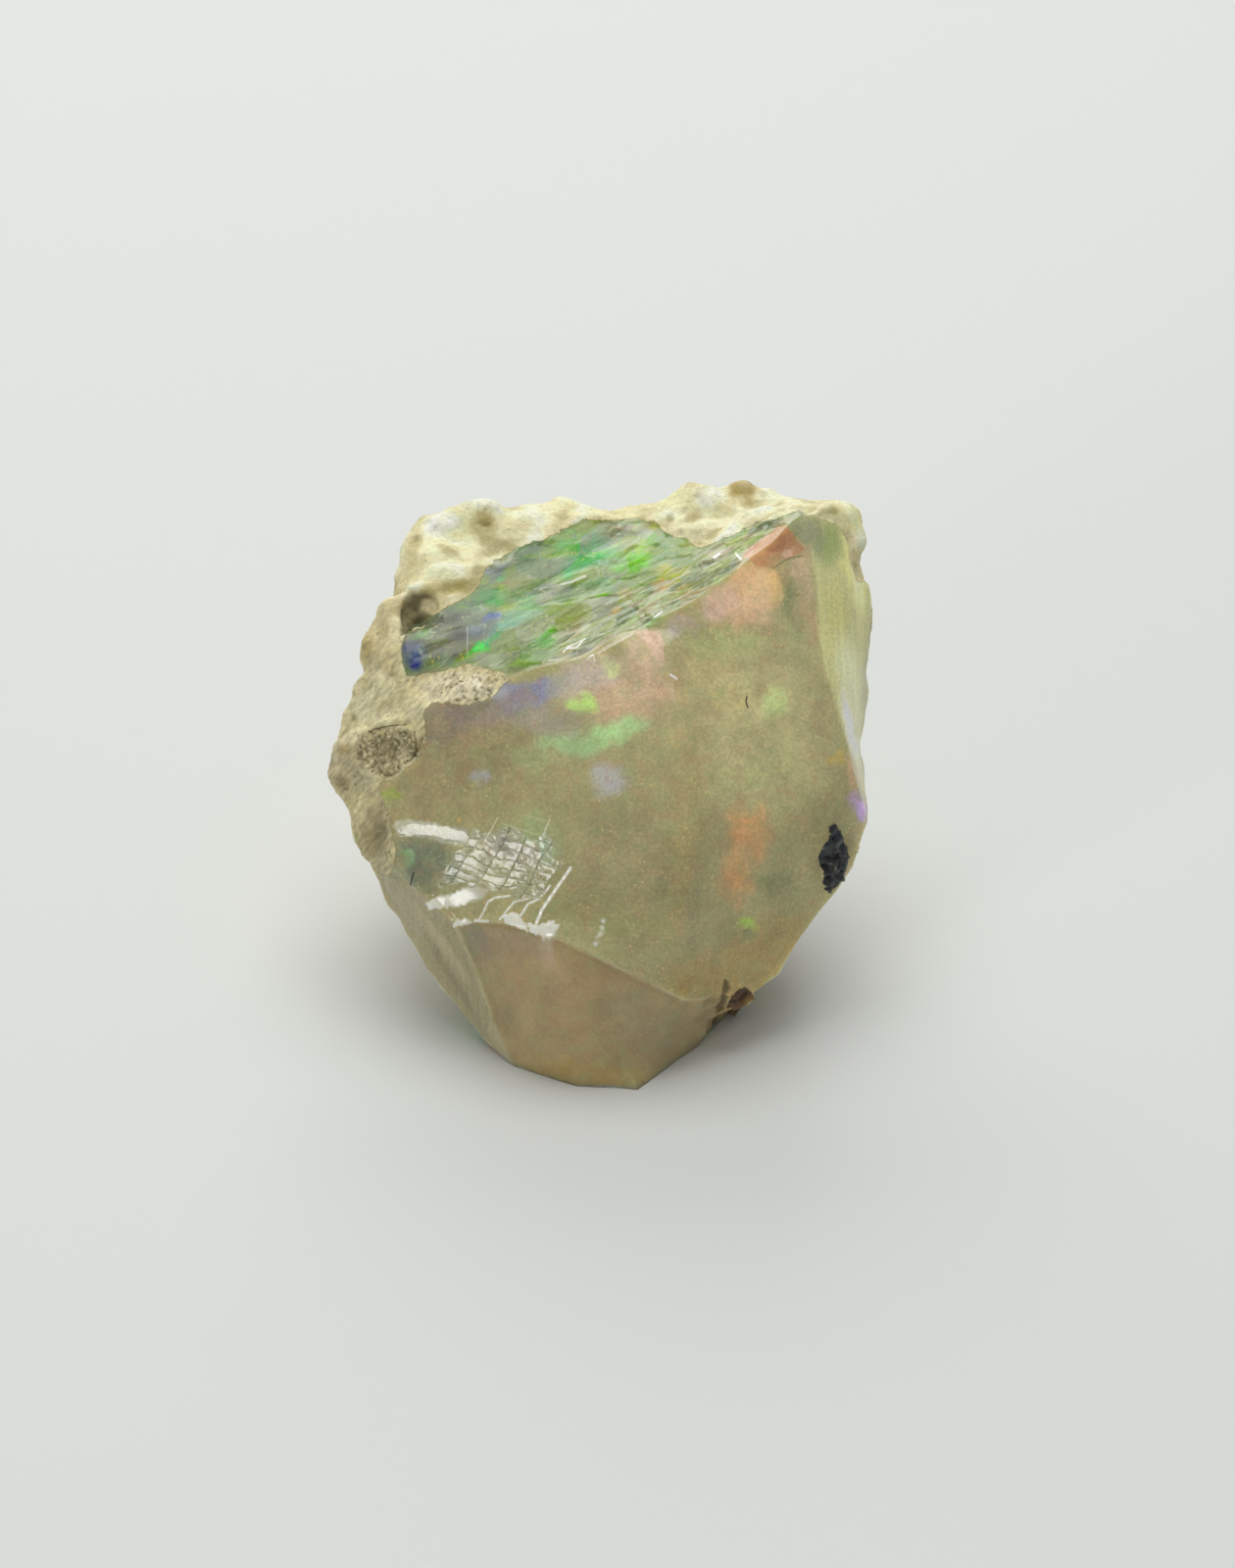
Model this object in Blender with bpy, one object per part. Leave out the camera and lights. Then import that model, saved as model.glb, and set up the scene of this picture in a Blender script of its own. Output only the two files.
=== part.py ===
"""A rough piece of precious opal, still wearing part of the rock that it grew in.

One natural stone, so one solid: flat and shell-shaped fracture faces of opal, a knobbly skin of
host rock round the left side, the top rim and the back, and a small flat foot that it rests on.
The stone stands on Z = 0 with its front face towards -Y. Sizes below are in millimetres.
"""

import math

import bpy
import numpy as np
from mathutils import Vector, noise
from mathutils.geometry import delaunay_2d_cdt

MM = 0.001

# The driving size is the stone's width. The corners that the photograph shows are given by their
# place in it, 555 pixels for that width, and by how far they lie behind the middle of its frame.
# The photograph looks down on the stone from the front.
STONE_WIDTH = 21.0
PX_PER_MM = 555.0 / STONE_WIDTH
FRAME_MIDDLE_PX = (630.0, 800.0)
FRAME_MIDDLE = Vector((0.64, -3.93, 10.27))
LOOK_DOWN = math.radians(30.0)
EYE_DISTANCE = 220.0
VIEW_UP = Vector((0.0, math.sin(LOOK_DOWN), math.cos(LOOK_DOWN)))
VIEW_AHEAD = Vector((0.0, math.cos(LOOK_DOWN), -math.sin(LOOK_DOWN)))

# How far apart the mesh points lie on smooth opal and on knobbly rock, and how close to an edge
# they come, in parts of that
OPAL_STEP = 0.57
ROCK_STEP = 0.46
EDGE_CLEARANCE = 0.62

# How far corners are rounded off: rounds of smoothing, each by up to this part of the way
SMOOTHING_ROUNDS = 6
SMOOTHING = 0.5

# The relief that runs all over a surface: how high it is, and how far apart its hills lie
ROCK_HILLS = (0.45, 3.1)
ROCK_KNOBBLES = (0.45, 1.9)
ROCK_GRAINS = (0.20, 1.1)
OPAL_WAVES = (0.10, 4.5)
OPAL_RIPPLES = (0.04, 1.8)
EDGE_WANDER = (0.13, 2.4)


def seen(px, py, behind):
    """The place of a point seen at a pixel, so many mm behind the middle of the frame."""
    spread = (EYE_DISTANCE + behind) / (EYE_DISTANCE * PX_PER_MM)
    across = (px - FRAME_MIDDLE_PX[0]) * spread
    up = (FRAME_MIDDLE_PX[1] - py) * spread
    return FRAME_MIDDLE + Vector((across, 0.0, 0.0)) + VIEW_UP * up + VIEW_AHEAD * behind


def on_ground(px, py):
    """The place where a pixel shows the surface that the stone stands on."""
    toward = seen(px, py, 1.0) - seen(px, py, 0.0)
    point = seen(px, py, -seen(px, py, 0.0).z / toward.z)
    point.z = 0.0
    return point


def hidden(x, y, z):
    """A corner on a side that the photograph doesn't show."""
    return Vector((x, y, z))


CORNERS = {
    # The foot, a small flat break that the stone rests on
    "toe_left": on_ground(527, 1088),
    "toe_middle": on_ground(590, 1108),
    "toe_right": on_ground(650, 1113),
    "heel_right": on_ground(716, 1067),
    "heel_back": hidden(5.6, -3.0, 0.0),
    "foot_right": hidden(5.3, 0.2, 0.0),
    "foot_back_right": hidden(3.9, 3.9, 0.0),
    "foot_back_middle": hidden(0.9, 5.2, 0.0),
    "foot_back_left": hidden(-2.9, 4.3, 0.0),
    "foot_left": hidden(-4.7, 0.7, 0.0),
    "foot_left_front": hidden(-4.3, -4.2, 0.0),
    # The edge between the front face and the toe scar under it
    "scar_1": seen(466, 941, 0.6),
    "scar_2": seen(520, 941, -0.9),
    "scar_3": seen(566, 957, -1.5),
    "scar_4": seen(632, 990, -1.6),
    "scar_5": seen(700, 1022, -0.4),
    # The soft ridge down the middle of the front face
    "front_high": seen(689, 735, -1.1),
    "front_middle": seen(702, 850, -2.0),
    "front_low": seen(680, 945, -2.0),
    # The lower right edge, up to the tip
    "notch": seen(745, 1028, 1.8),
    "low_right": seen(797, 994, 2.0),
    "under_grain": seen(835, 932, 2.2),
    "tip_low": seen(874, 884, 2.6),
    "tip": seen(889, 842, 2.0),
    # The right front edge, up to the peak
    "right_1": seen(868, 765, 1.3),
    "right_2": seen(846, 690, 1.6),
    "right_3": seen(835, 612, 2.4),
    "peak": seen(822, 527, 3.6),
    # The crest between the front face and the top face
    "crest_1": seen(790, 552, 2.4),
    "crest_2": seen(750, 585, 1.7),
    "crest_3": seen(706, 618, 1.0),
    "crest_4": seen(660, 640, 0.6),
    "crest_5": seen(605, 670, 0.4),
    "crest_6": seen(545, 684, 0.8),
    # The arm of rock that reaches along the crest from the left
    "arm_tip": seen(517, 694, 1.1),
    "arm_top": seen(470, 684, 1.9),
    "arm_root_top": seen(425, 690, 2.4),
    "arm_under": seen(488, 718, 0.8),
    "arm_root": seen(436, 724, 1.1),
    # The knob of rock on the left, and the edges of the flank below it
    "knob_right": seen(430, 778, 1.0),
    "knob_low": seen(394, 820, 1.2),
    "flank_in_1": seen(402, 866, 1.0),
    "flank_in_2": seen(424, 908, 0.9),
    "flank_in_3": seen(484, 985, 1.0),
    "flank_in_4": seen(503, 1038, 1.3),
    "flank_out_1": seen(500, 1062, 2.5),
    "flank_out_2": seen(440, 992, 3.0),
    "flank_out_3": seen(387, 908, 3.3),
    "flank_out_4": seen(354, 838, 3.4),
    "elbow": seen(331, 790, 3.4),
    "elbow_top": seen(342, 752, 3.5),
    # The rock band up the left side
    "band_1": seen(371, 694, 4.2),
    "band_2": seen(369, 654, 5.0),
    "band_3": seen(401, 600, 6.6),
    "band_top": seen(427, 520, 8.2),
    # The far edge of the opal on the top face
    "inlay_1": seen(414, 662, 2.6),
    "inlay_2": seen(442, 628, 3.6),
    "inlay_3": seen(500, 580, 5.2),
    "inlay_4": seen(545, 558, 5.9),
    "inlay_5": seen(600, 540, 6.3),
    "inlay_6": seen(655, 533, 6.2),
    "inlay_7": seen(712, 555, 4.6),
    "inlay_8": seen(765, 545, 4.0),
    # The top rim, where the stone ends against the background
    "rim_1": seen(497, 503, 8.6),
    "rim_2": seen(560, 510, 8.8),
    "rim_3": seen(645, 506, 8.6),
    "rim_4": seen(700, 490, 8.0),
    "rim_5": seen(765, 486, 7.8),
    "rim_6": seen(825, 502, 7.2),
    "rim_corner": seen(884, 512, 6.4),
    # The far edge of the pale right face
    "edge_1": seen(886, 590, 5.6),
    "edge_2": seen(890, 650, 5.0),
    "edge_3": seen(888, 710, 4.6),
    "edge_4": seen(880, 765, 4.4),
    # The back, the left side and the underside
    "edge_5": hidden(9.6, 0.4, 6.6),
    "edge_low": hidden(8.0, 1.0, 3.0),
    "back_right": hidden(9.0, 6.6, 9.6),
    "back_middle_right": hidden(4.4, 9.4, 8.6),
    "back_middle": hidden(-2.6, 9.9, 9.4),
    "back_left": hidden(-8.4, 6.6, 9.8),
    "back_low_right": hidden(6.4, 4.9, 3.2),
    "back_low_middle": hidden(0.6, 7.4, 3.0),
    "back_low_left": hidden(-5.6, 5.2, 3.4),
    "side_middle": hidden(-9.6, 2.4, 7.4),
    "side_low": hidden(-7.4, 0.4, 3.2),
}

# Each fracture face or patch of rock: what it is made of, how far its middle swells out past its
# corners, and those corners, anticlockwise as seen from outside
FACES = {
    "foot": ("foot", 0.0, "toe_left foot_left_front foot_left foot_back_left foot_back_middle"
             " foot_back_right foot_right heel_back heel_right toe_right toe_middle"),
    "toe_scar": ("opal", 0.9, "toe_left toe_middle toe_right heel_right notch scar_5 scar_4 scar_3"
                 " scar_2 scar_1 flank_in_3 flank_in_4"),
    "front_left": ("opal", 0.5, "scar_1 scar_2 scar_3 scar_4 front_low front_middle front_high crest_4"
                   " crest_5 crest_6 arm_tip arm_under arm_root knob_right knob_low flank_in_1"
                   " flank_in_2"),
    "front_right": ("opal", 0.5, "front_low scar_4 scar_5 notch low_right under_grain tip_low tip"
                    " right_1 right_2 right_3 peak crest_1 crest_2 crest_3 crest_4 front_high"
                    " front_middle"),
    "flank": ("potch", 0.1, "toe_left flank_in_4 flank_in_3 scar_1 flank_in_2 flank_out_3"
              " flank_out_2 flank_out_1"),
    "flank_rock": ("rock", 0.1, "flank_in_2 flank_in_1 knob_low elbow flank_out_4 flank_out_3"),
    "knob": ("rock", 0.6, "knob_low knob_right arm_root arm_root_top band_1 elbow_top elbow"),
    "arm": ("rock", 0.35, "arm_root arm_under arm_tip arm_top arm_root_top"),
    "band": ("rock", 0.6, "arm_root_top inlay_1 inlay_2 inlay_3 band_top band_3 band_2 band_1"),
    "top": ("opal", -0.2, "arm_root_top arm_top arm_tip crest_6 crest_5 crest_4 crest_3 crest_2"
            " crest_1 peak inlay_8 inlay_7 inlay_6 inlay_5 inlay_4 inlay_3 inlay_2 inlay_1"),
    "rim_left": ("rock", 0.5, "inlay_3 inlay_4 inlay_5 rim_2 rim_1 band_top"),
    "rim_middle": ("rock", 0.2, "inlay_5 inlay_6 inlay_7 rim_5 rim_4 rim_3 rim_2"),
    "rim_right": ("rock", 0.3, "inlay_7 inlay_8 peak rim_corner rim_6 rim_5"),
    "right": ("potch", 0.3, "peak right_3 right_2 right_1 tip edge_4 edge_3 edge_2 edge_1"
              " rim_corner"),
    "tip_side": ("potch", 0.0, "tip tip_low edge_5 edge_4"),
    "right_under": ("opal", 0.2, "tip_low under_grain low_right edge_low edge_5"),
    "right_foot": ("opal", -0.3, "low_right notch heel_right heel_back foot_right edge_low"),
    "back_right_high": ("rock", 0.3, "rim_corner edge_1 edge_2 edge_3 back_right"),
    "back_right_low": ("opal", -0.4, "edge_3 edge_4 edge_5 edge_low back_low_right back_right"),
    "back_high_right": ("rock", 0.3, "rim_corner back_right back_middle_right rim_4 rim_5 rim_6"),
    "back_high_left": ("rock", 0.3, "rim_4 back_middle_right back_middle rim_1 rim_2 rim_3"),
    "back_high_side": ("rock", 0.3, "rim_1 back_middle back_left band_top"),
    "back_low_right": ("opal", -0.5, "back_right back_low_right back_low_middle back_middle_right"),
    "back_low_left": ("rock", 0.4, "back_middle_right back_low_middle back_low_left back_left"
                      " back_middle"),
    "side_high": ("rock", 0.2, "band_top back_left band_1 band_2 band_3"),
    "side_middle": ("rock", 0.4, "band_1 back_left side_middle elbow elbow_top"),
    "side_under": ("opal", -0.3, "elbow side_middle side_low flank_out_2 flank_out_3 flank_out_4"),
    "side_foot": ("opal", 0.1, "side_low foot_left foot_left_front toe_left flank_out_1"
                  " flank_out_2"),
    "side_back": ("rock", 0.4, "side_middle back_left back_low_left side_low"),
    "foot_side": ("opal", -0.2, "side_low back_low_left foot_back_left foot_left"),
    "foot_back": ("rock", 0.3, "back_low_left back_low_middle foot_back_right foot_back_middle"
                  " foot_back_left"),
    "foot_right": ("opal", -0.3, "back_low_middle back_low_right edge_low foot_right"
                   " foot_back_right"),
}
SOFT_EDGES = "crest_4 front_high front_middle front_low scar_4".split()

# Hills and hollows that the photograph shows: the pixels across and down of the middle, half the
# width and half the height in pixels, and how far it stands out in mm, or goes in below zero
FEATURES = {
    "knob at the left end": (350, 782, 30, 46, 0.35),
    "collar round the oval pit": (396, 766, 46, 40, 0.30),
    "oval pit": (395, 767, 31, 25, -0.75),
    "arched cavity": (427, 620, 22, 25, -0.85),
    "lump above the cavity": (446, 572, 34, 26, 0.30),
    "hollow of the band": (392, 655, 16, 26, -0.30),
    "dent in the arm": (494, 700, 24, 10, -0.16),
    "lower rock pit": (388, 854, 16, 22, -0.30),
    "first lump of the rim": (716, 500, 34, 18, 0.40),
    "second lump of the rim": (764, 494, 20, 16, 0.45),
    "third lump of the rim": (850, 524, 30, 16, 0.30),
    "hollow of the rim": (738, 522, 22, 14, -0.25),
    "left lump of the rim": (486, 516, 34, 22, 0.45),
    "hollow of the left rim": (470, 548, 26, 18, -0.25),
    "chip under the peak": (796, 560, 28, 22, -0.22),
    "step on the top face": (592, 604, 32, 14, -0.18),
    "rise on the top face": (650, 575, 60, 18, 0.15),
    "black grain": (851, 878, 18, 38, 0.22),
    "brown grain": (754, 1018, 20, 20, 0.40),
    "crevice beside the brown grain": (730, 1038, 13, 28, -0.35),
}
# Hollows and lumps of the hidden sides: the middle, the size across and the height, all in mm
HIDDEN_FEATURES = {
    "pit high on the back": ((3.0, 9.4, 12.4), 1.7, -0.75),
    "pit beside it": ((5.6, 9.0, 10.8), 1.2, -0.45),
    "long hollow of the back": ((-5.4, 8.6, 11.0), 2.2, -0.80),
    "lump of the back": ((-1.4, 9.8, 7.2), 2.6, 0.60),
    "pit low on the back": ((-3.6, 7.6, 5.0), 1.6, -0.60),
    "pit of the left side": ((-9.4, 4.0, 9.4), 1.5, -0.60),
    "lump of the left side": ((-8.8, 4.4, 6.4), 1.8, 0.45),
    "shell scar of the right side": ((8.4, 3.0, 5.6), 2.6, -0.40),
}


# The kinds of surface, in the order of their materials. The foot is opal too.
SURFACES = ["opal", "potch", "rock", "foot"]


def edge_steps():
    """How far apart points lie along each edge: as close as the finer of its two faces asks."""
    steps = {}
    for kind, _, names in FACES.values():
        step = ROCK_STEP if kind == "rock" else OPAL_STEP
        corners = names.split()
        for edge in map(frozenset, zip(corners, corners[1:] + corners[:1])):
            steps[edge] = min(step, steps.get(edge, step))
    return steps


def border_points(corners, steps):
    """A face's outline as points in space. The two faces at an edge divide it the same way."""
    points = []
    for a, b in zip(corners, corners[1:] + corners[:1]):
        start, end = (CORNERS[name] for name in sorted((a, b)))
        count = max(1, round((end - start).length / steps[frozenset((a, b))]))
        run = [start.lerp(end, i / count) for i in range(count + 1)]
        if a > b:
            run.reverse()
        points += run[:-1]
    return points


def plane_through(points):
    """The middle of an outline, two axes along it and the normal that points out of the stone."""
    middle = sum(points, Vector()) / len(points)
    normal = Vector()
    for a, b in zip(points, points[1:] + points[:1]):
        normal += (a - middle).cross(b - middle)
    normal.normalize()
    across = normal.orthogonal().normalized()
    return middle, across, normal.cross(across), normal


def grid_inside(outline, step):
    """A triangular grid of flat points inside a flat outline, clear of its edges."""
    corners = np.array(outline)
    along = np.roll(corners, -1, axis=0) - corners
    low, high = corners.min(axis=0), corners.max(axis=0)
    row_height = step * math.sqrt(0.75)
    points = []
    for row in range(int((high[1] - low[1]) / row_height) + 1):
        for column in range(int((high[0] - low[0]) / step) + 2):
            point = low + ((column - row % 2 / 2) * step, (row + 0.5) * row_height)
            reach = ((point - corners) * along).sum(axis=1) / (along * along).sum(axis=1)
            nearest = corners + along * reach.clip(0, 1)[:, None]
            if np.linalg.norm(point - nearest, axis=1).min() < EDGE_CLEARANCE * step:
                continue
            above = corners[:, 1] > point[1]
            crossed = above != np.roll(above, -1)
            rise = np.where(crossed, along[:, 1], 1.0)
            at = corners[:, 0] + (point[1] - corners[:, 1]) * along[:, 0] / rise
            if (crossed & (at > point[0])).sum() % 2:
                points.append(Vector(point))
    return points


def membrane(border_heights, count, triangles, swell):
    """Heights of a skin stretched over an outline, its middle blown out by swell."""
    fixed = len(border_heights)
    link = np.zeros((count, count))
    for a, b, c in triangles:
        link[a, b] = link[b, c] = link[c, a] = link[b, a] = link[c, b] = link[a, c] = 1.0
    pull = np.diag(link.sum(axis=1)) - link
    inner = pull[fixed:, fixed:]
    heights = np.linalg.solve(inner, -pull[fixed:, :fixed] @ border_heights)
    bubble = np.linalg.solve(inner, np.ones(count - fixed))
    return heights + swell * bubble / bubble.max()


def fill_face(border, swell, step):
    """The points of one face, its border first, and its triangles."""
    middle, across, up, normal = plane_through(border)
    flat = [Vector(((p - middle).dot(across), (p - middle).dot(up))) for p in border]
    inside = grid_inside(flat, step)
    ring = [(i, (i + 1) % len(border)) for i in range(len(border))]
    _, _, triangles, _, _, _ = delaunay_2d_cdt(flat + inside, ring, [], 1, 1e-6)
    if not inside:
        return border, triangles
    border_heights = np.array([(p - middle).dot(normal) for p in border])
    heights = membrane(border_heights, len(flat) + len(inside), triangles, swell)
    raised = [middle + across * p.x + up * p.y + normal * h for p, h in zip(inside, heights)]
    return border + raised, triangles


def stone_mesh():
    """All faces sewn together: points, triangles, and the kinds of face that meet at each point."""
    steps = edge_steps()
    index, points, kinds, triangles, face_kinds = {}, [], [], [], []
    for kind, swell, names in FACES.values():
        step = ROCK_STEP if kind == "rock" else OPAL_STEP
        face_points, face_triangles = fill_face(border_points(names.split(), steps), swell, step)
        places = []
        for point in face_points:
            key = tuple(round(value, 4) for value in point)
            if key not in index:
                index[key] = len(points)
                points.append(point)
                kinds.append([])
            places.append(index[key])
            kinds[index[key]].append(kind)
        triangles += [[places[i] for i in triangle] for triangle in face_triangles]
        face_kinds += [kind] * len(face_triangles)
    return np.array(points), np.array(triangles), kinds, face_kinds


def on_run(points, names):
    """Whether each point lies on the run of edges from corner to corner."""
    found = np.zeros(len(points), bool)
    corners = [np.array(CORNERS[name]) for name in names]
    for start, end in zip(corners, corners[1:]):
        along = end - start
        place = ((points - start) @ along / (along @ along)).clip(0, 1)
        gap = np.linalg.norm(points - start - place[:, None] * along, axis=1)
        found |= gap < 0.01 * OPAL_STEP
    return found


def smoothed(points, triangles, give, rounds):
    """Each point drawn towards its neighbours' middle, by its own give each round."""
    ends = np.concatenate([triangles[:, [0, 1]], triangles[:, [1, 2]], triangles[:, [2, 0]]])
    count = np.bincount(ends[:, 0], minlength=len(points))[:, None]
    for _ in range(rounds):
        total = np.zeros_like(points)
        np.add.at(total, ends[:, 0], points[ends[:, 1]])
        points = points + give[:, None] * (total / count - points)
    return points


def normals(points, triangles):
    a, b, c = (points[triangles[:, i]] for i in range(3))
    face = np.cross(b - a, c - a)
    total = np.zeros_like(points)
    for i in range(3):
        np.add.at(total, triangles[:, i], face)
    return total / np.linalg.norm(total, axis=1)[:, None]


def hills(points, relief, seed):
    """Rounded hills and hollows."""
    height, apart = relief
    places = [Vector(p) / apart + Vector((seed, 0, 0)) for p in points]
    return height * np.array([noise.noise(p) for p in places])


def knobbles(points, relief, seed):
    """Round lumps packed side by side, with creases between them."""
    height, apart = relief
    places = [Vector(p) / apart + Vector((0, seed, 0)) for p in points]
    return height * np.array([0.55 - min(1.0, 1.3 * noise.voronoi(p)[0][0]) for p in places])


def picture_place(points):
    """How far across and down the photograph each point is seen, in pixels."""
    away = points - np.array(FRAME_MIDDLE)
    behind = away @ np.array(VIEW_AHEAD)
    spread = (EYE_DISTANCE + behind) / (EYE_DISTANCE * PX_PER_MM)
    across = FRAME_MIDDLE_PX[0] + away[:, 0] / spread
    down = FRAME_MIDDLE_PX[1] - away @ np.array(VIEW_UP) / spread
    return across, down


def dome(distance):
    """A rounded hill: 1 in the middle, 0 from a distance of 1 on."""
    return (1 - np.minimum(distance, 1) ** 2) ** 2


def named_relief(points, out):
    """How far the named hills and hollows raise each point."""
    eye = np.array(seen(*FRAME_MIDDLE_PX, -EYE_DISTANCE))
    facing = ((eye - points) * out).sum(axis=1) > 0
    across, down = picture_place(points)
    raised = np.zeros(len(points))
    for px, py, half_width, half_height, height in FEATURES.values():
        distance = np.hypot((across - px) / half_width, (down - py) / half_height)
        raised += facing * height * dome(distance)
    for middle, size, height in HIDDEN_FEATURES.values():
        raised += height * dome(np.linalg.norm(points - np.array(middle), axis=1) / size)
    return raised


def wander(points, relief, seed):
    """A small push in all directions, so that edges wander as broken edges do."""
    height, apart = relief
    places = [Vector(p) / apart + Vector((0, 0, seed)) for p in points]
    return height * np.array([noise.noise_vector(p) for p in places])


def shape_relief(points, triangles, rock, opal):
    """The points with their relief, by how much each one is rock or opal. The foot is neither."""
    out = normals(points, triangles)
    rough = hills(points, ROCK_HILLS, 3.0) + hills(points, ROCK_GRAINS, 5.0)
    rough += knobbles(points, ROCK_KNOBBLES, 7.0)
    gentle = hills(points, OPAL_WAVES, 9.0) + hills(points, OPAL_RIPPLES, 11.0)
    raised = rock * rough + opal * gentle + (rock + opal) * named_relief(points, out)
    return points + out * raised[:, None] + wander(points, EDGE_WANDER, 13.0)


def build_stone():
    points, triangles, kinds, face_kinds = stone_mesh()
    rock = np.array([sum(kind == "rock" for kind in met) / len(met) for met in kinds])
    foot = np.array([any(kind == "foot" for kind in met) for met in kinds])
    on_edge = np.array([len(met) > 1 for met in kinds])
    crisp = on_edge & ~on_run(points, SOFT_EDGES)
    give = SMOOTHING * np.where(crisp, np.clip(rock * 1.2 - 0.2, 0, 1), 1)
    give[foot] = 0.0
    points = smoothed(points, triangles, give, SMOOTHING_ROUNDS)
    points = shape_relief(points, triangles, np.where(foot, 0, rock), np.where(foot, 0, 1 - rock))
    points[foot, 2] = 0.0
    low, high = points.min(axis=0), points.max(axis=0)
    points -= ((low[0] + high[0]) / 2, (low[1] + high[1]) / 2, low[2])
    mesh = bpy.data.meshes.new("opal")
    mesh.from_pydata((points * MM).tolist(), [], triangles.tolist())
    mesh.polygons.foreach_set("use_smooth", [True] * len(mesh.polygons))
    mesh.polygons.foreach_set("material_index", [SURFACES.index(kind) for kind in face_kinds])
    stone = bpy.data.objects.new("opal", mesh)
    bpy.context.scene.collection.objects.link(stone)
    return stone


def material(name, colour, roughness):
    made = bpy.data.materials.new(name)
    made.use_nodes = True
    shader = made.node_tree.nodes["Principled BSDF"]
    shader.inputs["Base Color"].default_value = (*colour, 1.0)
    shader.inputs["Roughness"].default_value = roughness
    shader.inputs["IOR"].default_value = 1.45
    return made


for leftover in list(bpy.data.objects):
    bpy.data.objects.remove(leftover, do_unlink=True)
opal = build_stone()
opal.data.materials.append(material("precious opal", (0.33, 0.27, 0.15), 0.12))
opal.data.materials.append(material("pale common opal", (0.47, 0.46, 0.27), 0.25))
opal.data.materials.append(material("host rock", (0.46, 0.36, 0.22), 0.85))
opal.data.materials.append(opal.data.materials["precious opal"])
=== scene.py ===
import math

import bmesh
import bpy
import numpy as np
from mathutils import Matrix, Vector, noise


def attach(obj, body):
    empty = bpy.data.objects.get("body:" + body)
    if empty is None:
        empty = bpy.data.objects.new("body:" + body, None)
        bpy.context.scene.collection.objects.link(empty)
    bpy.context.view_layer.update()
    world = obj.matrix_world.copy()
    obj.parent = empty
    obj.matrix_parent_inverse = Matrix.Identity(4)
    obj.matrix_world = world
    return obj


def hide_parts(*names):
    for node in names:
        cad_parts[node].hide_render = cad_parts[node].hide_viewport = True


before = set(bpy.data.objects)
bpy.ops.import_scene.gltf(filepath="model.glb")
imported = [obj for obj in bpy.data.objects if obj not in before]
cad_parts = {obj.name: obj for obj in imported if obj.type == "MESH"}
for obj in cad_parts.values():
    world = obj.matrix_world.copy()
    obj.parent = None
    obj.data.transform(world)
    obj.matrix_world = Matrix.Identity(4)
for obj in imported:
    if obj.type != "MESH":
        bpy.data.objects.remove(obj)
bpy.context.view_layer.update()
MM = 0.001

# The view
# The photograph looks down on the stone's front by 30 degrees, from 220 mm away. A place named by
# pixels below is a place in it: pixels across and down from its top left corner, 1260 by 1600.
PX_PER_MM = 555.0 / 21.0
FRAME_MIDDLE_PX = (630.0, 800.0)
FRAME_HEIGHT_PX = 1600.0
FRAME_MIDDLE = np.array((0.681, -4.088, 10.27))
LOOK_DOWN = math.radians(30.0)
EYE_DISTANCE = 220.0
VIEW_UP = np.array((0.0, math.sin(LOOK_DOWN), math.cos(LOOK_DOWN)))
VIEW_AHEAD = np.array((0.0, math.cos(LOOK_DOWN), -math.sin(LOOK_DOWN)))
EYE = FRAME_MIDDLE - VIEW_AHEAD * EYE_DISTANCE
SENSOR = 36.0

camera_data = bpy.data.cameras.new("camera")
camera_data.sensor_width = SENSOR
camera_data.lens = SENSOR * EYE_DISTANCE * PX_PER_MM / FRAME_HEIGHT_PX
camera_data.clip_start = MM
camera_data.clip_end = 10.0
camera = bpy.data.objects.new("camera", camera_data)
camera.location = Vector(EYE) * MM
camera.rotation_euler = (math.pi / 2 - LOOK_DOWN, 0.0, 0.0)
bpy.context.scene.collection.objects.link(camera)
bpy.context.scene.camera = camera
bpy.context.scene.view_settings.view_transform = "Standard"


def picture_place(points):
    """How far across and down the photograph each point is seen, in pixels."""
    away = points - FRAME_MIDDLE
    spread = (EYE_DISTANCE + away @ VIEW_AHEAD) / (EYE_DISTANCE * PX_PER_MM)
    across = FRAME_MIDDLE_PX[0] + away[:, 0] / spread
    return across, FRAME_MIDDLE_PX[1] - away @ VIEW_UP / spread


# The form of the stone
# One broken piece of opal with its crust of host rock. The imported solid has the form; here its
# corners are rounded as they are on the stone and its surface gets points for the fine relief.
WELD = 0.001
CRISP_ANGLE = math.radians(14.0)

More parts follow.
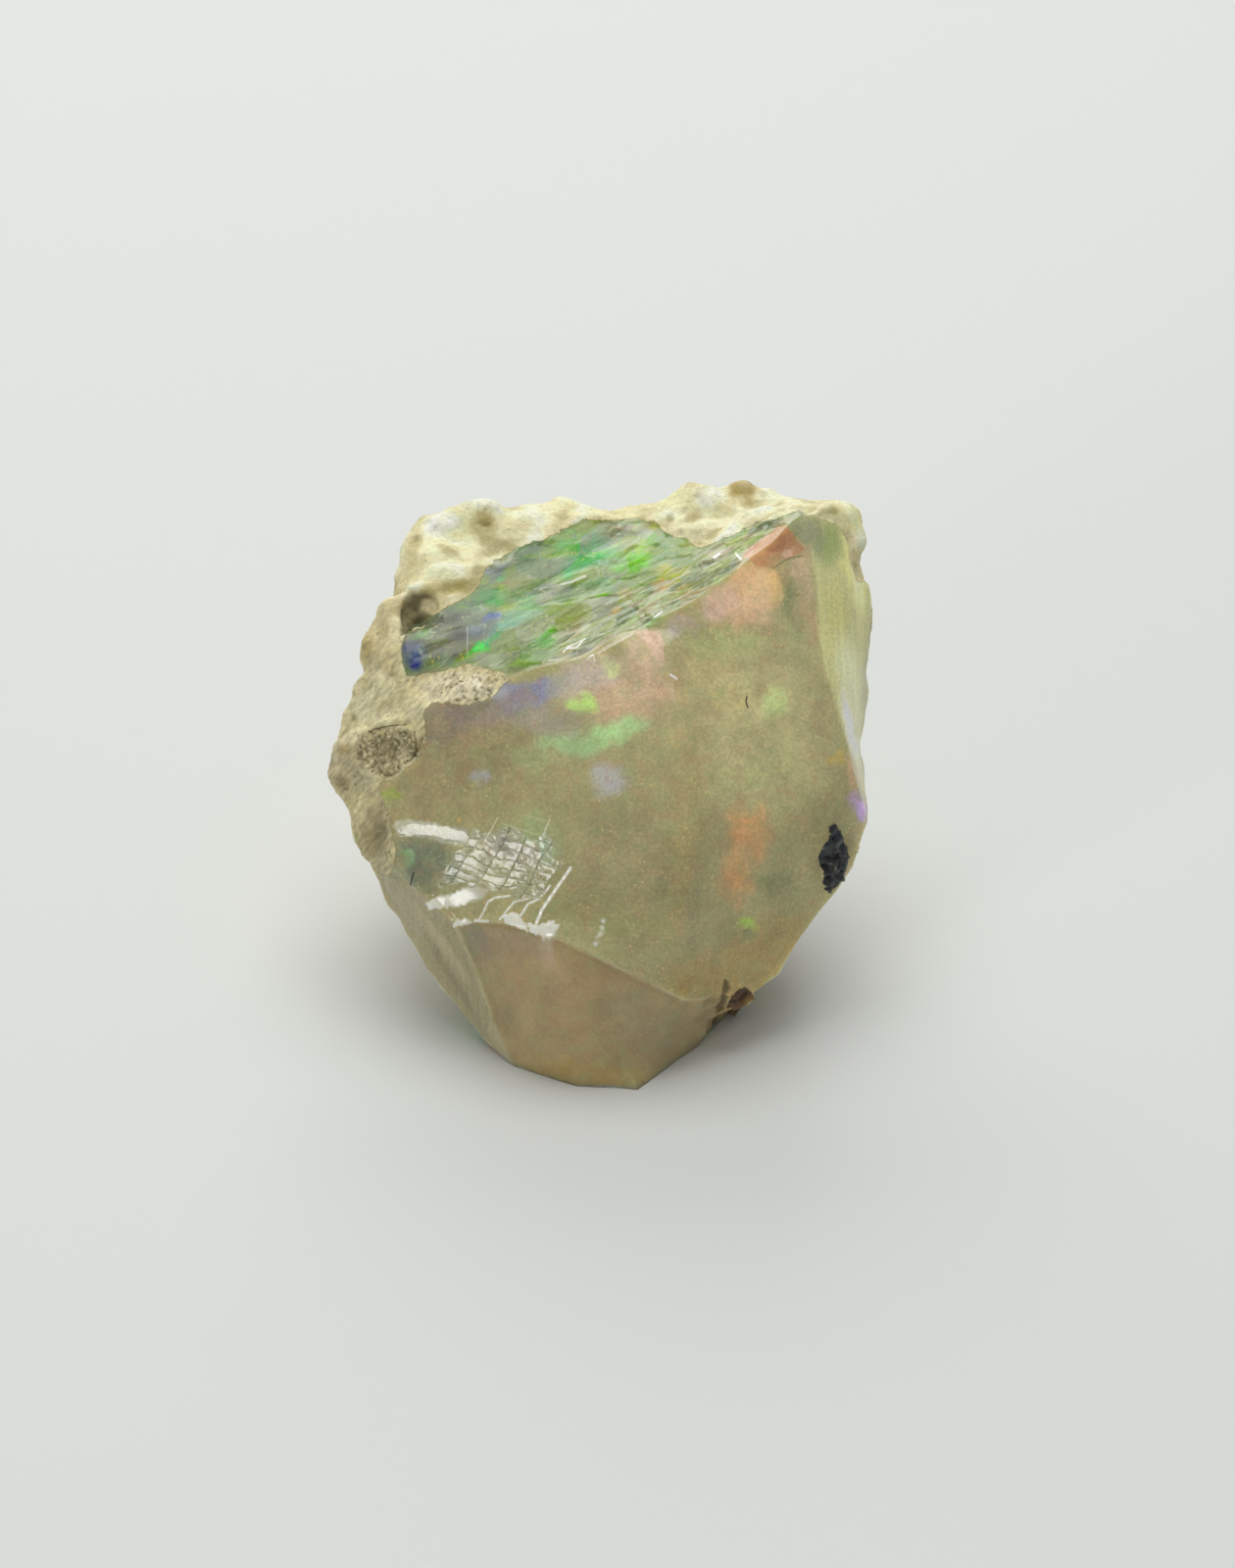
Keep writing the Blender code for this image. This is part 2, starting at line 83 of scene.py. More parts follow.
# Where the photograph shows rock, the top face, the scar above the toe, the pale right face and
# the pale strip down the left flank, as outlines in pixels
OUTLINES = {
    "rock": [(398, 895), (402, 882), (403, 870), (401, 856), (398, 842), (400, 833), (396, 826),
             (389, 818), (385, 809), (387, 800), (396, 796), (408, 788), (420, 778), (428, 770),
             (433, 760), (434, 750), (432, 735), (434, 724), (439, 718), (450, 716), (465, 718),
             (478, 720), (492, 716), (504, 709), (512, 701), (518, 694), (515, 688), (506, 684),
             (496, 682), (484, 678), (475, 677), (463, 682), (451, 685), (436, 687), (423, 690),
             (415, 690), (411, 676), (409, 662), (411, 654), (414, 645), (422, 636), (433, 630),
             (447, 625), (461, 617), (475, 609), (485, 602), (491, 592), (495, 582), (506, 571),
             (525, 560), (545, 554), (563, 546), (580, 539), (594, 532), (620, 531), (651, 529),
             (668, 533), (679, 543), (688, 548), (700, 549), (708, 556), (716, 558), (731, 555),
             (743, 549), (759, 539), (773, 533), (794, 529), (804, 524), (816, 520), (824, 524),
             (836, 529), (848, 532), (858, 538), (864, 552), (868, 575), (874, 592), (920, 600),
             (920, 440), (300, 440), (300, 850), (352, 866), (371, 885)],
    "top": [(400, 700), (415, 692), (436, 689), (463, 684), (475, 679), (496, 684), (518, 690),
            (545, 682), (575, 672), (600, 668), (620, 654), (633, 646), (657, 642), (673, 639),
            (678, 629), (702, 613), (726, 601), (743, 590), (757, 570), (769, 556), (792, 537),
            (822, 527), (822, 480), (400, 480)],
    "toe": [(466, 944), (484, 941), (513, 941), (541, 950), (566, 957), (600, 972), (640, 992),
            (700, 1021), (722, 1019), (738, 1012), (748, 1034), (760, 1130), (470, 1130), (503, 1040),
            (484, 985)],
    "right": [(818, 524), (824, 548), (827, 570), (831, 592), (833, 623), (835, 650), (838, 670),
              (843, 690), (851, 713), (857, 733), (863, 752), (871, 778), (880, 810), (889, 842),
              (930, 842), (930, 440), (818, 440)],
    "flank": [(371, 885), (398, 895), (408, 895), (420, 903), (434, 914), (446, 926), (459, 936),
              (466, 944), (475, 965), (484, 985), (492, 1010), (503, 1040), (514, 1062), (527, 1092),
              (480, 1110), (340, 900)],
}
# What the hidden sides are made of: a place in the middle of each stretch of rock and of opal, mm
HIDDEN_ROCK = [(10.3, 4.6, 12.9), (7.0, 8.1, 14.3), (0.0, 9.2, 13.8), (-5.7, 8.5, 12.7),
               (-2.3, 7.5, 6.8), (-8.5, 5.0, 12.7), (-9.7, 1.8, 9.6), (-7.7, 3.5, 6.0),
               (-0.6, 5.0, 1.3), (-9.2, -2.4, 9.6), (3.6, 9.2, 10.2)]
HIDDEN_OPAL = [(9.0, 2.4, 7.1), (5.1, 6.9, 6.1), (-8.6, -1.5, 5.2), (-5.1, -4.0, 1.0),
               (-5.1, 2.5, 1.7), (4.9, 3.3, 1.8), (10.1, -1.5, 7.5), (8.7, -2.6, 4.7),
               (5.9, -3.7, 1.3), (0.5, -2.6, 0.0), (9.9, 1.7, 11.0)]


def welded(mesh):
    """The points, in mm, and triangles of a copy of a mesh, with equal points made one."""
    solid = bmesh.new()
    solid.from_mesh(mesh)
    bmesh.ops.remove_doubles(solid, verts=solid.verts, dist=WELD * MM)
    solid.verts.index_update()
    found = np.array([vert.co for vert in solid.verts]) / MM
    corners = np.array([[vert.index for vert in face.verts] for face in solid.faces])
    solid.free()
    return found, corners


def edges_of(triangles):
    """The two ends of each edge, once, and which edge each side of a triangle is."""
    sides = np.concatenate([triangles[:, [0, 1]], triangles[:, [1, 2]], triangles[:, [2, 0]]])
    edges, side_edge = np.unique(np.sort(sides, axis=1), axis=0, return_inverse=True)
    return edges, side_edge.reshape(3, -1).T


def face_normals(points, triangles):
    a, b, c = (points[triangles[:, i]] for i in range(3))
    return np.cross(b - a, c - a)


def outward(points, triangles):
    """The direction out of the stone at each point."""
    face = face_normals(points, triangles)
    total = np.zeros_like(points)
    for i in range(3):
        np.add.at(total, triangles[:, i], face)
    return total / np.linalg.norm(total, axis=1)[:, None]


def smooth_step(value, low, high):
    t = np.clip((value - low) / (high - low), 0.0, 1.0)
    return t * t * (3 - 2 * t)


def seen_share(points, out):
    """How far each point faces the photograph's eye: 0 on the hidden sides, 1 on the front."""
    toward = EYE - points
    facing = (toward * out).sum(axis=1) / np.linalg.norm(toward, axis=1)
    return smooth_step(facing, -0.04, 0.10)


def segment_gap(across, down, start, end):
    """How many pixels each place lies from a straight stretch."""
    along = np.subtract(end, start)
    t = ((across - start[0]) * along[0] + (down - start[1]) * along[1]) / (along @ along)
    t = np.clip(t, 0.0, 1.0)
    return np.hypot(across - start[0] - t * along[0], down - start[1] - t * along[1])


def reach_inside(across, down, outline):
    """How far inside an outline each place lies, in mm, below zero outside it."""
    gap = np.full(len(across), 1e6)
    inside = np.zeros(len(across), bool)
    for start, end in zip(outline, outline[1:] + outline[:1]):
        gap = np.minimum(gap, segment_gap(across, down, start, end))
        if start[1] != end[1]:
            crossing = start[0] + (down - start[1]) * (end[0] - start[0]) / (end[1] - start[1])
            inside ^= ((down < start[1]) != (down < end[1])) & (across < crossing)
    return np.where(inside, gap, -gap) / PX_PER_MM


def rock_reach(points, out):
    """How far inside the crust of rock each point lies, in mm, below zero on opal."""
    in_picture = reach_inside(*picture_place(points), OUTLINES["rock"])
    to_rock = np.min([np.linalg.norm(points - spot, axis=1) for spot in HIDDEN_ROCK], axis=0)
    to_opal = np.min([np.linalg.norm(points - spot, axis=1) for spot in HIDDEN_OPAL], axis=0)
    seen = seen_share(points, out)
    return seen * in_picture + (1 - seen) * (to_opal - to_rock) / 2


def crisp_edges(points, triangles):
    """The edges where two faces of opal meet at an angle. Rock has none."""
    edges, sides = edges_of(triangles)
    face = face_normals(points, triangles)
    face /= np.linalg.norm(face, axis=1)[:, None]
    total = np.zeros((len(edges), 3))
    for side in range(3):
        np.add.at(total, sides[:, side], face)
    half_angle = np.arccos(np.clip(np.linalg.norm(total, axis=1) / 2, 0.0, 1.0))
    rock = rock_reach(points, outward(points, triangles)) > 0
    return edges[(2 * half_angle > CRISP_ANGLE) & ~(rock[edges[:, 0]] & rock[edges[:, 1]])]


def edge_names(edges):
    """One number for each pair of ends."""
    ordered = np.sort(edges, axis=1)
    return ordered[:, 0] * 10_000_000 + ordered[:, 1]


def linked(count, edges, points):
    """How many of the edges meet at each point, and the sum of the points at their far ends."""
    total = np.zeros((count, 3))
    np.add.at(total, edges[:, 0], points[edges[:, 1]])
    np.add.at(total, edges[:, 1], points[edges[:, 0]])
    return np.bincount(edges.ravel(), minlength=count), total


def refined(points, triangles, crisp, chosen):
    """The chosen triangles cut in four and rounded by Loop's rules, with the crisp edges kept.

    Triangles beside them are cut too, so that no gap opens.
    """
    edges, sides = edges_of(triangles)
    keep = np.isin(edge_names(edges), edge_names(crisp))
    count = len(points)
    middle = points[edges].mean(axis=1)
    opposite = np.zeros_like(middle)
    for side in range(3):
        np.add.at(opposite, sides[:, side], points[triangles[:, (side + 2) % 3]])
    middle = np.where(keep[:, None], middle, 0.75 * middle + 0.125 * opposite)
    links, total = linked(count, edges, points)
    pull = np.where(links > 3, 3 / (8 * links), 3 / 16)[:, None]
    moved = (1 - links[:, None] * pull) * points + pull * total
    crisp_links, crisp_total = linked(count, edges[keep], points)
    on_edge = 0.75 * points + 0.125 * crisp_total
    moved = np.where(crisp_links[:, None] == 2, on_edge, moved)
    moved = np.where(crisp_links[:, None] > 2, points, moved)

    cut = np.zeros(len(edges), bool)
    cut[sides[chosen]] = True
    whole_round = np.ones(count, bool)
    whole_round[triangles[~cut[sides].all(axis=1)]] = False
    moved = np.where(whole_round[:, None], moved, points)
    halfway = np.full(len(edges), -1)
    halfway[cut] = count + np.arange(cut.sum())
    mids = halfway[sides]
    cuts = (mids >= 0).sum(axis=1)
    a, b, c = triangles[cuts == 3].T
    ab, bc, ca = mids[cuts == 3].T
    made = [np.stack(corners, axis=1) for corners in ((a, ab, ca), (b, bc, ab), (c, ca, bc), (ab, bc, ca))]
    made.append(triangles[cuts == 0])
    beside = (cuts == 1) | (cuts == 2)
    for corners, between in zip(triangles[beside].tolist(), mids[beside].tolist()):
        ring = [place for pair in zip(corners, between) for place in pair]
        first = next(i for i in (1, 3, 5) if ring[i] >= 0)
        fan = [place for place in ring[first:] + ring[:first] if place >= 0]
        made.append(np.array([[fan[0], left, right] for left, right in zip(fan[1:], fan[2:])]))
    halved = [np.stack([edges[keep & cut][:, end], halfway[keep & cut]], axis=1) for end in (0, 1)]
    crisp = np.concatenate([edges[keep & ~cut]] + halved)
    return np.vstack([moved, middle[cut]]), np.concatenate(made), crisp


points, triangles = welded(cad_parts["opal"].data)
low_corner, high_corner = points.min(axis=0), points.max(axis=0)
crisp = crisp_edges(points, triangles)
points, triangles, crisp = refined(points, triangles, crisp, np.ones(len(triangles), bool))

# The smooth opal of the hidden sides needs no more points
out = outward(points, triangles)
rough = (seen_share(points, out) > 0) | (rock_reach(points, out) > -0.3)
points, triangles, crisp = refined(points, triangles, crisp, rough[triangles].any(axis=1))

# Where the surface has detail finer than its points, more are added: the middle in pixels across
# and down, and half the width and height
FINE_PLACES = {
    "hackly band along the crest": (665, 612, 140, 34, -29),
    "chip under the peak": (790, 560, 40, 28, 0),
    "crazed patch and the strips beside it": (498, 892, 106, 72, 0),
    "rock arm": (472, 702, 52, 22, 0),
    "oval pit": (395, 767, 42, 34, 0),
    "arched cavity": (427, 624, 26, 28, 0),
    "black grain": (851, 878, 22, 46, 0),
    "brown grain": (750, 1024, 28, 34, 0),
}
FINEST_PLACES = {"crazed patch and the ribs under it": (521, 896, 62, 60, 0)}


def oval_gap(across, down, px, py, half_width, half_height, turn=0):
    """How far each place lies from the middle of an oval: 1 on its rim. Turn is in degrees."""
    c, s = math.cos(math.radians(turn)), math.sin(math.radians(turn))
    x, y = across - px, down - py
    return np.hypot((x * c + y * s) / half_width, (y * c - x * s) / half_height)


def dome(distance):
    """A rounded hill: 1 in the middle, 0 from a distance of 1 on."""
    return (1 - np.minimum(distance, 1) ** 2) ** 2


for places in (FINE_PLACES, FINEST_PLACES):
    across, down = picture_place(points)
    facing = seen_share(points, outward(points, triangles)) > 0.5
    near = np.min([oval_gap(across, down, *place) for place in places.values()], axis=0) < 1
    points, triangles, crisp = refined(points, triangles, crisp, (facing & near)[triangles].any(axis=1))

out = outward(points, triangles)
across, down = picture_place(points)
seen = seen_share(points, out)
REACH = {name: reach_inside(across, down, outline) * seen - 5 * (1 - seen)
         for name, outline in OUTLINES.items()}
REACH["rock"] = rock_reach(points, out)
is_rock = smooth_step(REACH["rock"], -0.10, 0.15)
raised = np.zeros(len(points))


def hills(apart, seed, where=None, stretch=(1.0, 1.0, 1.0)):
    """Rounded hills and hollows about so many mm apart, from -1 to 1, only where asked."""
    made = np.zeros(len(points))
    for i in range(len(points)) if where is None else np.flatnonzero(where > 0.01):
        made[i] = noise.noise(Vector(points[i] * stretch) / apart + Vector((seed, 0, 0)))
    return made


def run_along(turn, long_step, short_step, seed, where):
    """Hills drawn out along one direction of the photograph, as hackles and growth lines are."""
    c, s = math.cos(math.radians(turn)), math.sin(math.radians(turn))
    x, y = across / PX_PER_MM, down / PX_PER_MM
    along, beside = (x * c + y * s) / long_step, (y * c - x * s) / short_step
    made = np.zeros(len(points))
    for i in np.flatnonzero(where > 0.01):
        made[i] = noise.noise(Vector((along[i], beside[i], seed)))
    return made


def pits(apart, size, seed, where):
    """Round pits about so many mm apart: 1 in the middle of each, 0 between them."""
    made = np.zeros(len(points))
    for i in np.flatnonzero(where > 0.01):
        nearest = noise.voronoi(Vector(points[i]) / apart + Vector((seed, 0, 0)))[0][0]
        made[i] = 1 - min(1.0, nearest * apart / size)
    return made


def oval_share(place, edge=0.35):
    """1 inside a named oval of the photograph, 0 outside it, with a soft rim."""
    return seen * (1 - smooth_step(oval_gap(across, down, *place), 1 - edge, 1 + edge))


def facets(size, steepness, where):
    """Small flat facets, each tilted its own way, and how far each place is from a joint, in mm."""
    made, gaps = np.zeros((2, len(points)))
    for i in np.flatnonzero(where > 0.01):
        place = Vector(points[i]) / size
        reached, middles = noise.voronoi(place)
        made[i] = (place - middles[0]).dot(noise.noise_vector(middles[0] * 7.3)) * size * steepness
        gaps[i] = (reached[1] - reached[0]) * size
    return made, gaps


# The crust of host rock
# Weathered volcanic ash stone, cream to tan, chalky and knobbly. It is grown together with the
# opal: lumps of it stand along the top rim, and its broken bubbles leave pits and a round cavity.
ROCK_GRAIN = (0.060, 0.50)
ROCK_FINE_GRAIN = (0.034, 0.22)
ROCK_LUMPS = (0.20, 1.05)
ROCK_SWELLS = (0.22, 2.60)
PIT_SPACING = 0.75
PIT_SIZE = 0.26
PIT_DEPTH = 0.07

# Lumps and hollows of the crust: pixels across and down of the middle, half the width and height,
# the turn in degrees, and the height in mm
ROCK_FORMS = {
    "bright lump of the left rim": (452, 534, 18, 13, -10, 0.16),
    "hollow beside it": (494, 530, 14, 9, 0, -0.22),
    "lump at the back edge": (545, 524, 26, 11, -8, 0.12),
    "lump over the opal's edge": (484, 566, 16, 16, -30, 0.16),
    "lump above the cavity": (447, 583, 22, 12, 0, 0.14),
    "hollow above the cavity": (460, 600, 22, 8, -12, -0.22),
    "collar of the cavity": (428, 601, 26, 8, 0, 0.15),
    "hollow beside the rim's lump": (737, 524, 18, 8, -10, -0.20),
    "tan lump on the rim": (752, 500, 20, 14, -15, 0.18),
    "cream lump on the rim": (718, 508, 22, 15, 0, 0.12),
    "hollow in the right rim": (848, 522, 16, 9, 0, -0.20),
    "small ridge under the rim": (735, 541, 34, 6, -14, 0.10),
    "boss on the arm": (492, 700, 24, 16, 0, 0.10),
    "neck of the arm": (446, 704, 14, 12, 0, -0.10),
    "groove above the oval pit": (400, 741, 28, 4, -6, -0.10),
    "collar of the oval pit": (430, 757, 7, 20, 8, 0.12),
    "hollow of the lower rock": (389, 852, 8, 14, 20, -0.16),
    "lump of the band": (392, 664, 12, 16, 10, 0.10),
    "hollow of the band": (376, 640, 8, 18, 12, -0.12),
    "dent under the knob": (352, 800, 14, 12, 0, -0.10),
}
ARM = (480, 701, 36, 20, 0)
OVAL_PIT = (395, 767, 32, 25, -8)
PIT_RIM = 0.16
PIT_CRUMB = 0.26
SMOOTH_KNOB = (350, 790, 34, 52, 0)
CAVITY = [(408, 648), (408, 624), (412, 611), (421, 604), (433, 604), (442, 610), (447, 619),
          (441, 628), (431, 634), (420, 645)]
CAVITY_LUMP = (437, 619, 9, 10, 20)

raised += is_rock * ROCK_GRAIN[0] * hills(ROCK_GRAIN[1], 3, is_rock)
raised += is_rock * ROCK_FINE_GRAIN[0] * hills(ROCK_FINE_GRAIN[1], 5, is_rock)
lumps = hills(ROCK_LUMPS[1], 7, is_rock)
swells = hills(ROCK_SWELLS[1], 8, is_rock)
lumps *= 0.5 + smooth_step(swells, -0.3, 0.3)
raised += is_rock * (ROCK_LUMPS[0] * lumps + ROCK_SWELLS[0] * swells) * (1 - 0.7 * oval_share(SMOOTH_KNOB))
for *place, height in ROCK_FORMS.values():
    raised += seen * is_rock * height * dome(oval_gap(across, down, *place))
pitted = is_rock * smooth_step(hills(2.2, 11, is_rock), -0.1, 0.3)
raised -= PIT_DEPTH * pitted * pits(PIT_SPACING, PIT_SIZE, 13, pitted)
arm = is_rock * oval_share(ARM)
arm_pits = arm * pits(0.30, 0.12, 17, arm)
raised -= 0.05 * arm_pits
oval_pit = is_rock * oval_share(OVAL_PIT, 0.1)
crumbs, crumb_gap = facets(PIT_CRUMB, 1.5, oval_pit)
raised += oval_pit * (crumbs + 0.08 * smooth_step(crumb_gap, 0.0, 0.10) - 0.15)
rim_gap = (oval_gap(across, down, *OVAL_PIT) - 1 - PIT_RIM / 2) / PIT_RIM
raised += seen * is_rock * 0.06 * dome(np.abs(rim_gap))
cavity = seen * smooth_step(reach_inside(across, down, CAVITY), -0.06, 0.16)
cavity *= 1 - 0.9 * oval_share(CAVITY_LUMP, 0.4)
raised -= cavity * (0.22 + 0.12 * hills(0.45, 18, cavity))

# The faces of opal
# Precious opal breaks like glass, in smooth shells. The break that made the top face tore a band
# of fine steps, or hackles, along the crest; the pale flank shows the layers that it grew in.
HACKLES = [(585, 660), (640, 628), (690, 603), (735, 576), (785, 545)]
HACKLE_WIDTH = 30.0
HACKLE_TURN = -29.0

# Low ridges and the lip above the toe, in pixels, with the height and half the width in mm
RIDGES = {
    "soft ridge down the front": ([(678, 660), (689, 740), (700, 850), (692, 950)], 0.15, 0.75),
    "lip over the toe": ([(468, 942), (486, 938), (514, 939), (540, 947), (566, 954), (600, 970),
                          (640, 990), (700, 1019)], 0.05, 0.25),
    "edge of the flank": ([(437, 917), (466, 943), (477, 968), (487, 996), (502, 1031), (520, 1068)],
                          0.07, 0.22),
}
# Shell ripples of the hidden faces: the middle of the rings, how far apart they are and their height
RIPPLES = [((10.5, -4.0, 2.0), 1.5, 0.10), ((-9.5, -1.5, 8.0), 1.3, 0.09), ((1.0, 7.0, 1.0), 1.6, 0.08)]
TOE_STEP = 0.05
TOE_STEP_REACH = 0.45

# Steps and dents of the smooth faces, as above
OPAL_FORMS = {
    "step under the highlit ledge": (580, 606, 44, 9, -14, -0.10),
    "ledge above it": (592, 588, 40, 8, -14, 0.06),
    "shell at the back of the top face": (640, 562, 46, 14, -6, 0.06),
    "dent left of the shell": (560, 588, 26, 14, -30, -0.07),
    "fold at the left end": (455, 650, 40, 10, -14, 0.06),
    "chip under the peak": (797, 556, 22, 18, -20, -0.10),
    "arc of the front face": (668, 672, 10, 34, -28, 0.07),
    "dent beside the lower rock": (402, 874, 18, 14, 0, -0.10),
    "bevel right of the knob": (420, 812, 34, 20, 0, 0.04),
    "shallow shell on the front": (735, 700, 40, 10, -28, 0.04),
    "dent beside the right edge": (812, 622, 12, 44, -12, -0.06),
}


def path_gap(path):
    """How many pixels each place lies from a path."""
    return np.min([segment_gap(across, down, a, b) for a, b in zip(path, path[1:])], axis=0)


is_top = smooth_step(REACH["top"], -0.05, 0.2) * (1 - is_rock)
hackly = 1 - smooth_step(path_gap(HACKLES), 0.3 * HACKLE_WIDTH, HACKLE_WIDTH)
hackly *= seen * (1 - is_rock)
hackly *= smooth_step(REACH["top"], -0.15, 0.05)
is_flank = smooth_step(REACH["flank"], -0.04, 0.10) * (1 - is_rock)
is_right = smooth_step(REACH["right"], -0.04, 0.10) * (1 - is_rock)
is_toe = smooth_step(REACH["toe"], -0.03, 0.10)



def flakes_along(turn, long_step, short_step, seed, where):
    """Thin flakes that lie like shingles along one direction of the photograph, from -1 to 1."""
    c, s = math.cos(math.radians(turn)), math.sin(math.radians(turn))
    x, y = across / PX_PER_MM, down / PX_PER_MM
    along, beside = (x * c + y * s) / long_step, (y * c - x * s) / short_step
    made = np.zeros(len(points))
    for i in np.flatnonzero(where > 0.01):
        place = Vector((along[i], beside[i], seed))
        middle = noise.voronoi(place)[1][0]
        made[i] = (place - middle).dot(noise.noise_vector(middle * 7.3) + Vector((0, 0.6, 0)))
    return np.clip(made, -1, 1)


raised += hackly * 0.10 * flakes_along(HACKLE_TURN, 0.85, 0.24, 21, hackly)
raised += hackly * 0.05 * run_along(HACKLE_TURN - 4, 1.4, 0.5, 23, hackly)
raised += is_top * 0.05 * flakes_along(HACKLE_TURN + 6, 1.6, 0.60, 25, is_top)
raised += is_flank * 0.035 * run_along(57.0, 4.0, 0.22, 27, is_flank)
raised += is_right * 0.02 * run_along(84.0, 5.0, 0.5, 29, is_right)
for *place, height in OPAL_FORMS.values():
    raised += seen * (1 - is_rock) * height * dome(oval_gap(across, down, *place))

for path, height, half_width in RIDGES.values():
    raised += seen * (1 - is_rock) * height * dome(path_gap(path) / PX_PER_MM / half_width)
hidden = (1 - seen) * (1 - is_rock)
for middle, apart, height in RIPPLES:
    rings = np.linalg.norm(points - middle, axis=1)
    raised += hidden * height * np.exp(-rings / 7) * np.sin(2 * math.pi * rings / apart) * np.minimum(rings / 4, 1)
raised -= is_toe * TOE_STEP * (1 - smooth_step(REACH["toe"], 0.0, TOE_STEP_REACH))

# The glossy patch low on the left
# A knock has crazed the opal here in small flat cells between hair cracks, and left a few ribs
# under them. The cells, the ribs and two bevels beside them lean so that they mirror the window;
# they are also painted pale, the ribs and the lower bevel near white, as a painted highlight.
WINDOW_TURN = math.radians(-38.0)
WINDOW_RISE = math.radians(14.0)
WINDOW_WAY = np.array((math.sin(WINDOW_TURN) * math.cos(WINDOW_RISE),
                       -math.cos(WINDOW_TURN) * math.cos(WINDOW_RISE), math.sin(WINDOW_RISE)))
CRAZED = [(468, 866), (478, 856), (484, 846), (497, 851), (508, 846), (521, 847), (531, 849), (536, 853),
          (546, 857), (554, 850), (566, 855), (565, 872), (572, 880), (562, 896), (557, 906),
          (546, 918), (534, 916), (522, 914), (508, 910), (494, 906), (476, 902), (452, 903),
          (450, 897), (458, 884), (462, 872)]
# Bevels and the feet of the ribs: the outline, a path down the middle, the spacing of their facets
# in pixels, and how strongly a painted highlight whitens them
BEVELS = {
    "upper bevel": ([(399, 834), (406, 838), (420, 838), (443, 841), (474, 847), (479, 853), (476, 861),
                     (464, 860), (443, 855), (419, 853), (406, 851)], [(399, 842), (480, 853)], 90, 0.3),
    "lower bevel": ([(438, 920), (449, 915), (464, 912), (473, 906), (484, 904), (496, 909), (494, 914),
                     (486, 917), (472, 923), (457, 925), (442, 925)], [(438, 920), (497, 910)], 90, 0.8),
    "left foot": ([(466, 938), (474, 939), (480, 942), (472, 944), (465, 943)], [(465, 941), (480, 941)], 20, 0.9),
    "foot between the ribs": ([(516, 935), (523, 932), (530, 935), (534, 941), (538, 949), (528, 946),
                               (520, 941)], [(517, 937), (537, 946)], 30, 0.9),
    "foot of the long rib": ([(540, 943), (548, 945), (556, 943), (564, 940), (569, 945), (566, 953),
                              (561, 958), (552, 955), (543, 951)], [(541, 947), (568, 950)], 30, 0.9),
}
RIBS = {
    "first rib": ([(489, 939), (493, 931), (498, 920), (505, 916), (520, 914)], 0.8),
    "second rib": ([(511, 938), (518, 928), (525, 920), (539, 917)], 0.8),
    "third rib": ([(527, 939), (532, 933), (539, 922), (551, 917), (561, 904)], 0.9),
    "long rib": ([(546, 945), (553, 928), (568, 906), (582, 886)], 1.3),
    "foot of the first rib": ([(486, 939), (498, 940)], 1.1),
    "glint right of the ribs": ([(607, 964), (614, 950), (616, 938)], 0.9),
}
CELL_WIDTH = 23.0
CELL_HEIGHT = 9.0
CROSS_STEP = CELL_WIDTH * np.array((math.cos(math.radians(19)), math.sin(math.radians(19))))
STEEP_STEP = CELL_HEIGHT * np.array((math.cos(math.radians(60)), -math.sin(math.radians(60))))
CELL_LEAN = 0.05
RIB_FACET = 9.0


def lean_to_window(offset, stray=0.0):
    """The height, in mm, of a facet that mirrors the window, so many pixels from its middle."""
    toward = EYE - points
    half = toward / np.linalg.norm(toward, axis=1)[:, None] + WINDOW_WAY
    half /= np.linalg.norm(half, axis=1)[:, None]
    slope = half / (half * out).sum(axis=1)[:, None] - out + stray
    flat = (offset[0][:, None] * np.array((1.0, 0.0, 0.0)) - offset[1][:, None] * VIEW_UP) / PX_PER_MM
    on_face = flat - VIEW_AHEAD * ((flat * out).sum(axis=1) / (out @ VIEW_AHEAD))[:, None]
    return np.clip(-(slope * on_face).sum(axis=1), -0.22, 0.22)


def spot_offset(path, apart):
    """How many pixels each place lies from the nearest of the spots set so far apart on a path."""
    nearest = np.full((2, len(points)), 1e6)
    for start, end in zip(path, path[1:]):
        count = max(1, round(math.dist(start, end) / apart))
        for i in range(count):
            spot = np.add(start, np.subtract(end, start) * (i + 0.5) / count)
            offset = np.array((across - spot[0], down - spot[1]))
            nearest = np.where(np.hypot(*offset) < np.hypot(*nearest), offset, nearest)
    return nearest


# Cell coordinates: the first counts the steep cracks, the second the cracks across
to_cells = np.linalg.inv(np.column_stack([CROSS_STEP, STEEP_STEP]))
near_patch = seen * (oval_gap(across, down, 505, 892, 125, 90) < 1)
cells = to_cells @ np.array((across - 500, down - 880))
cells[0] += 0.28 * hills(1.1, 43, near_patch)
cells[1] += 0.6 * hills(0.9, 47, near_patch) + 0.3 * hills(0.3, 48, near_patch)
from_middle = cells - np.floor(cells) - 0.5
stray = np.zeros((len(points), 3))
for i in np.flatnonzero(near_patch):
    stray[i] = CELL_LEAN * noise.noise_vector(Vector((*np.floor(cells[:, i]), 0)) * 1.37 + Vector((5, 0, 0)))
crazed_reach = reach_inside(across, down, CRAZED) + 0.22 * hills(0.4, 49, near_patch)
crazed = near_patch * smooth_step(crazed_reach, -0.02, 0.04)
stray *= 1 + 2.5 * (1 - smooth_step(crazed_reach, 0.05, 0.5))[:, None]
cell_offset = np.column_stack([CROSS_STEP, STEEP_STEP]) @ from_middle
raised += crazed * lean_to_window(cell_offset, stray)
gloss, ribs = np.zeros((2, len(points)))
bevel_grain = 0.10 * hills(0.16, 55, near_patch)
for outline, middle, apart, highlight_paint in BEVELS.values():
    share = smooth_step(reach_inside(across, down, outline) + bevel_grain, -0.08, 0.0)
    share *= near_patch * (1 - crazed)
    raised += share * lean_to_window(spot_offset(middle, apart))
    gloss = np.maximum(gloss, share)
    ribs = np.maximum(ribs, highlight_paint * share)
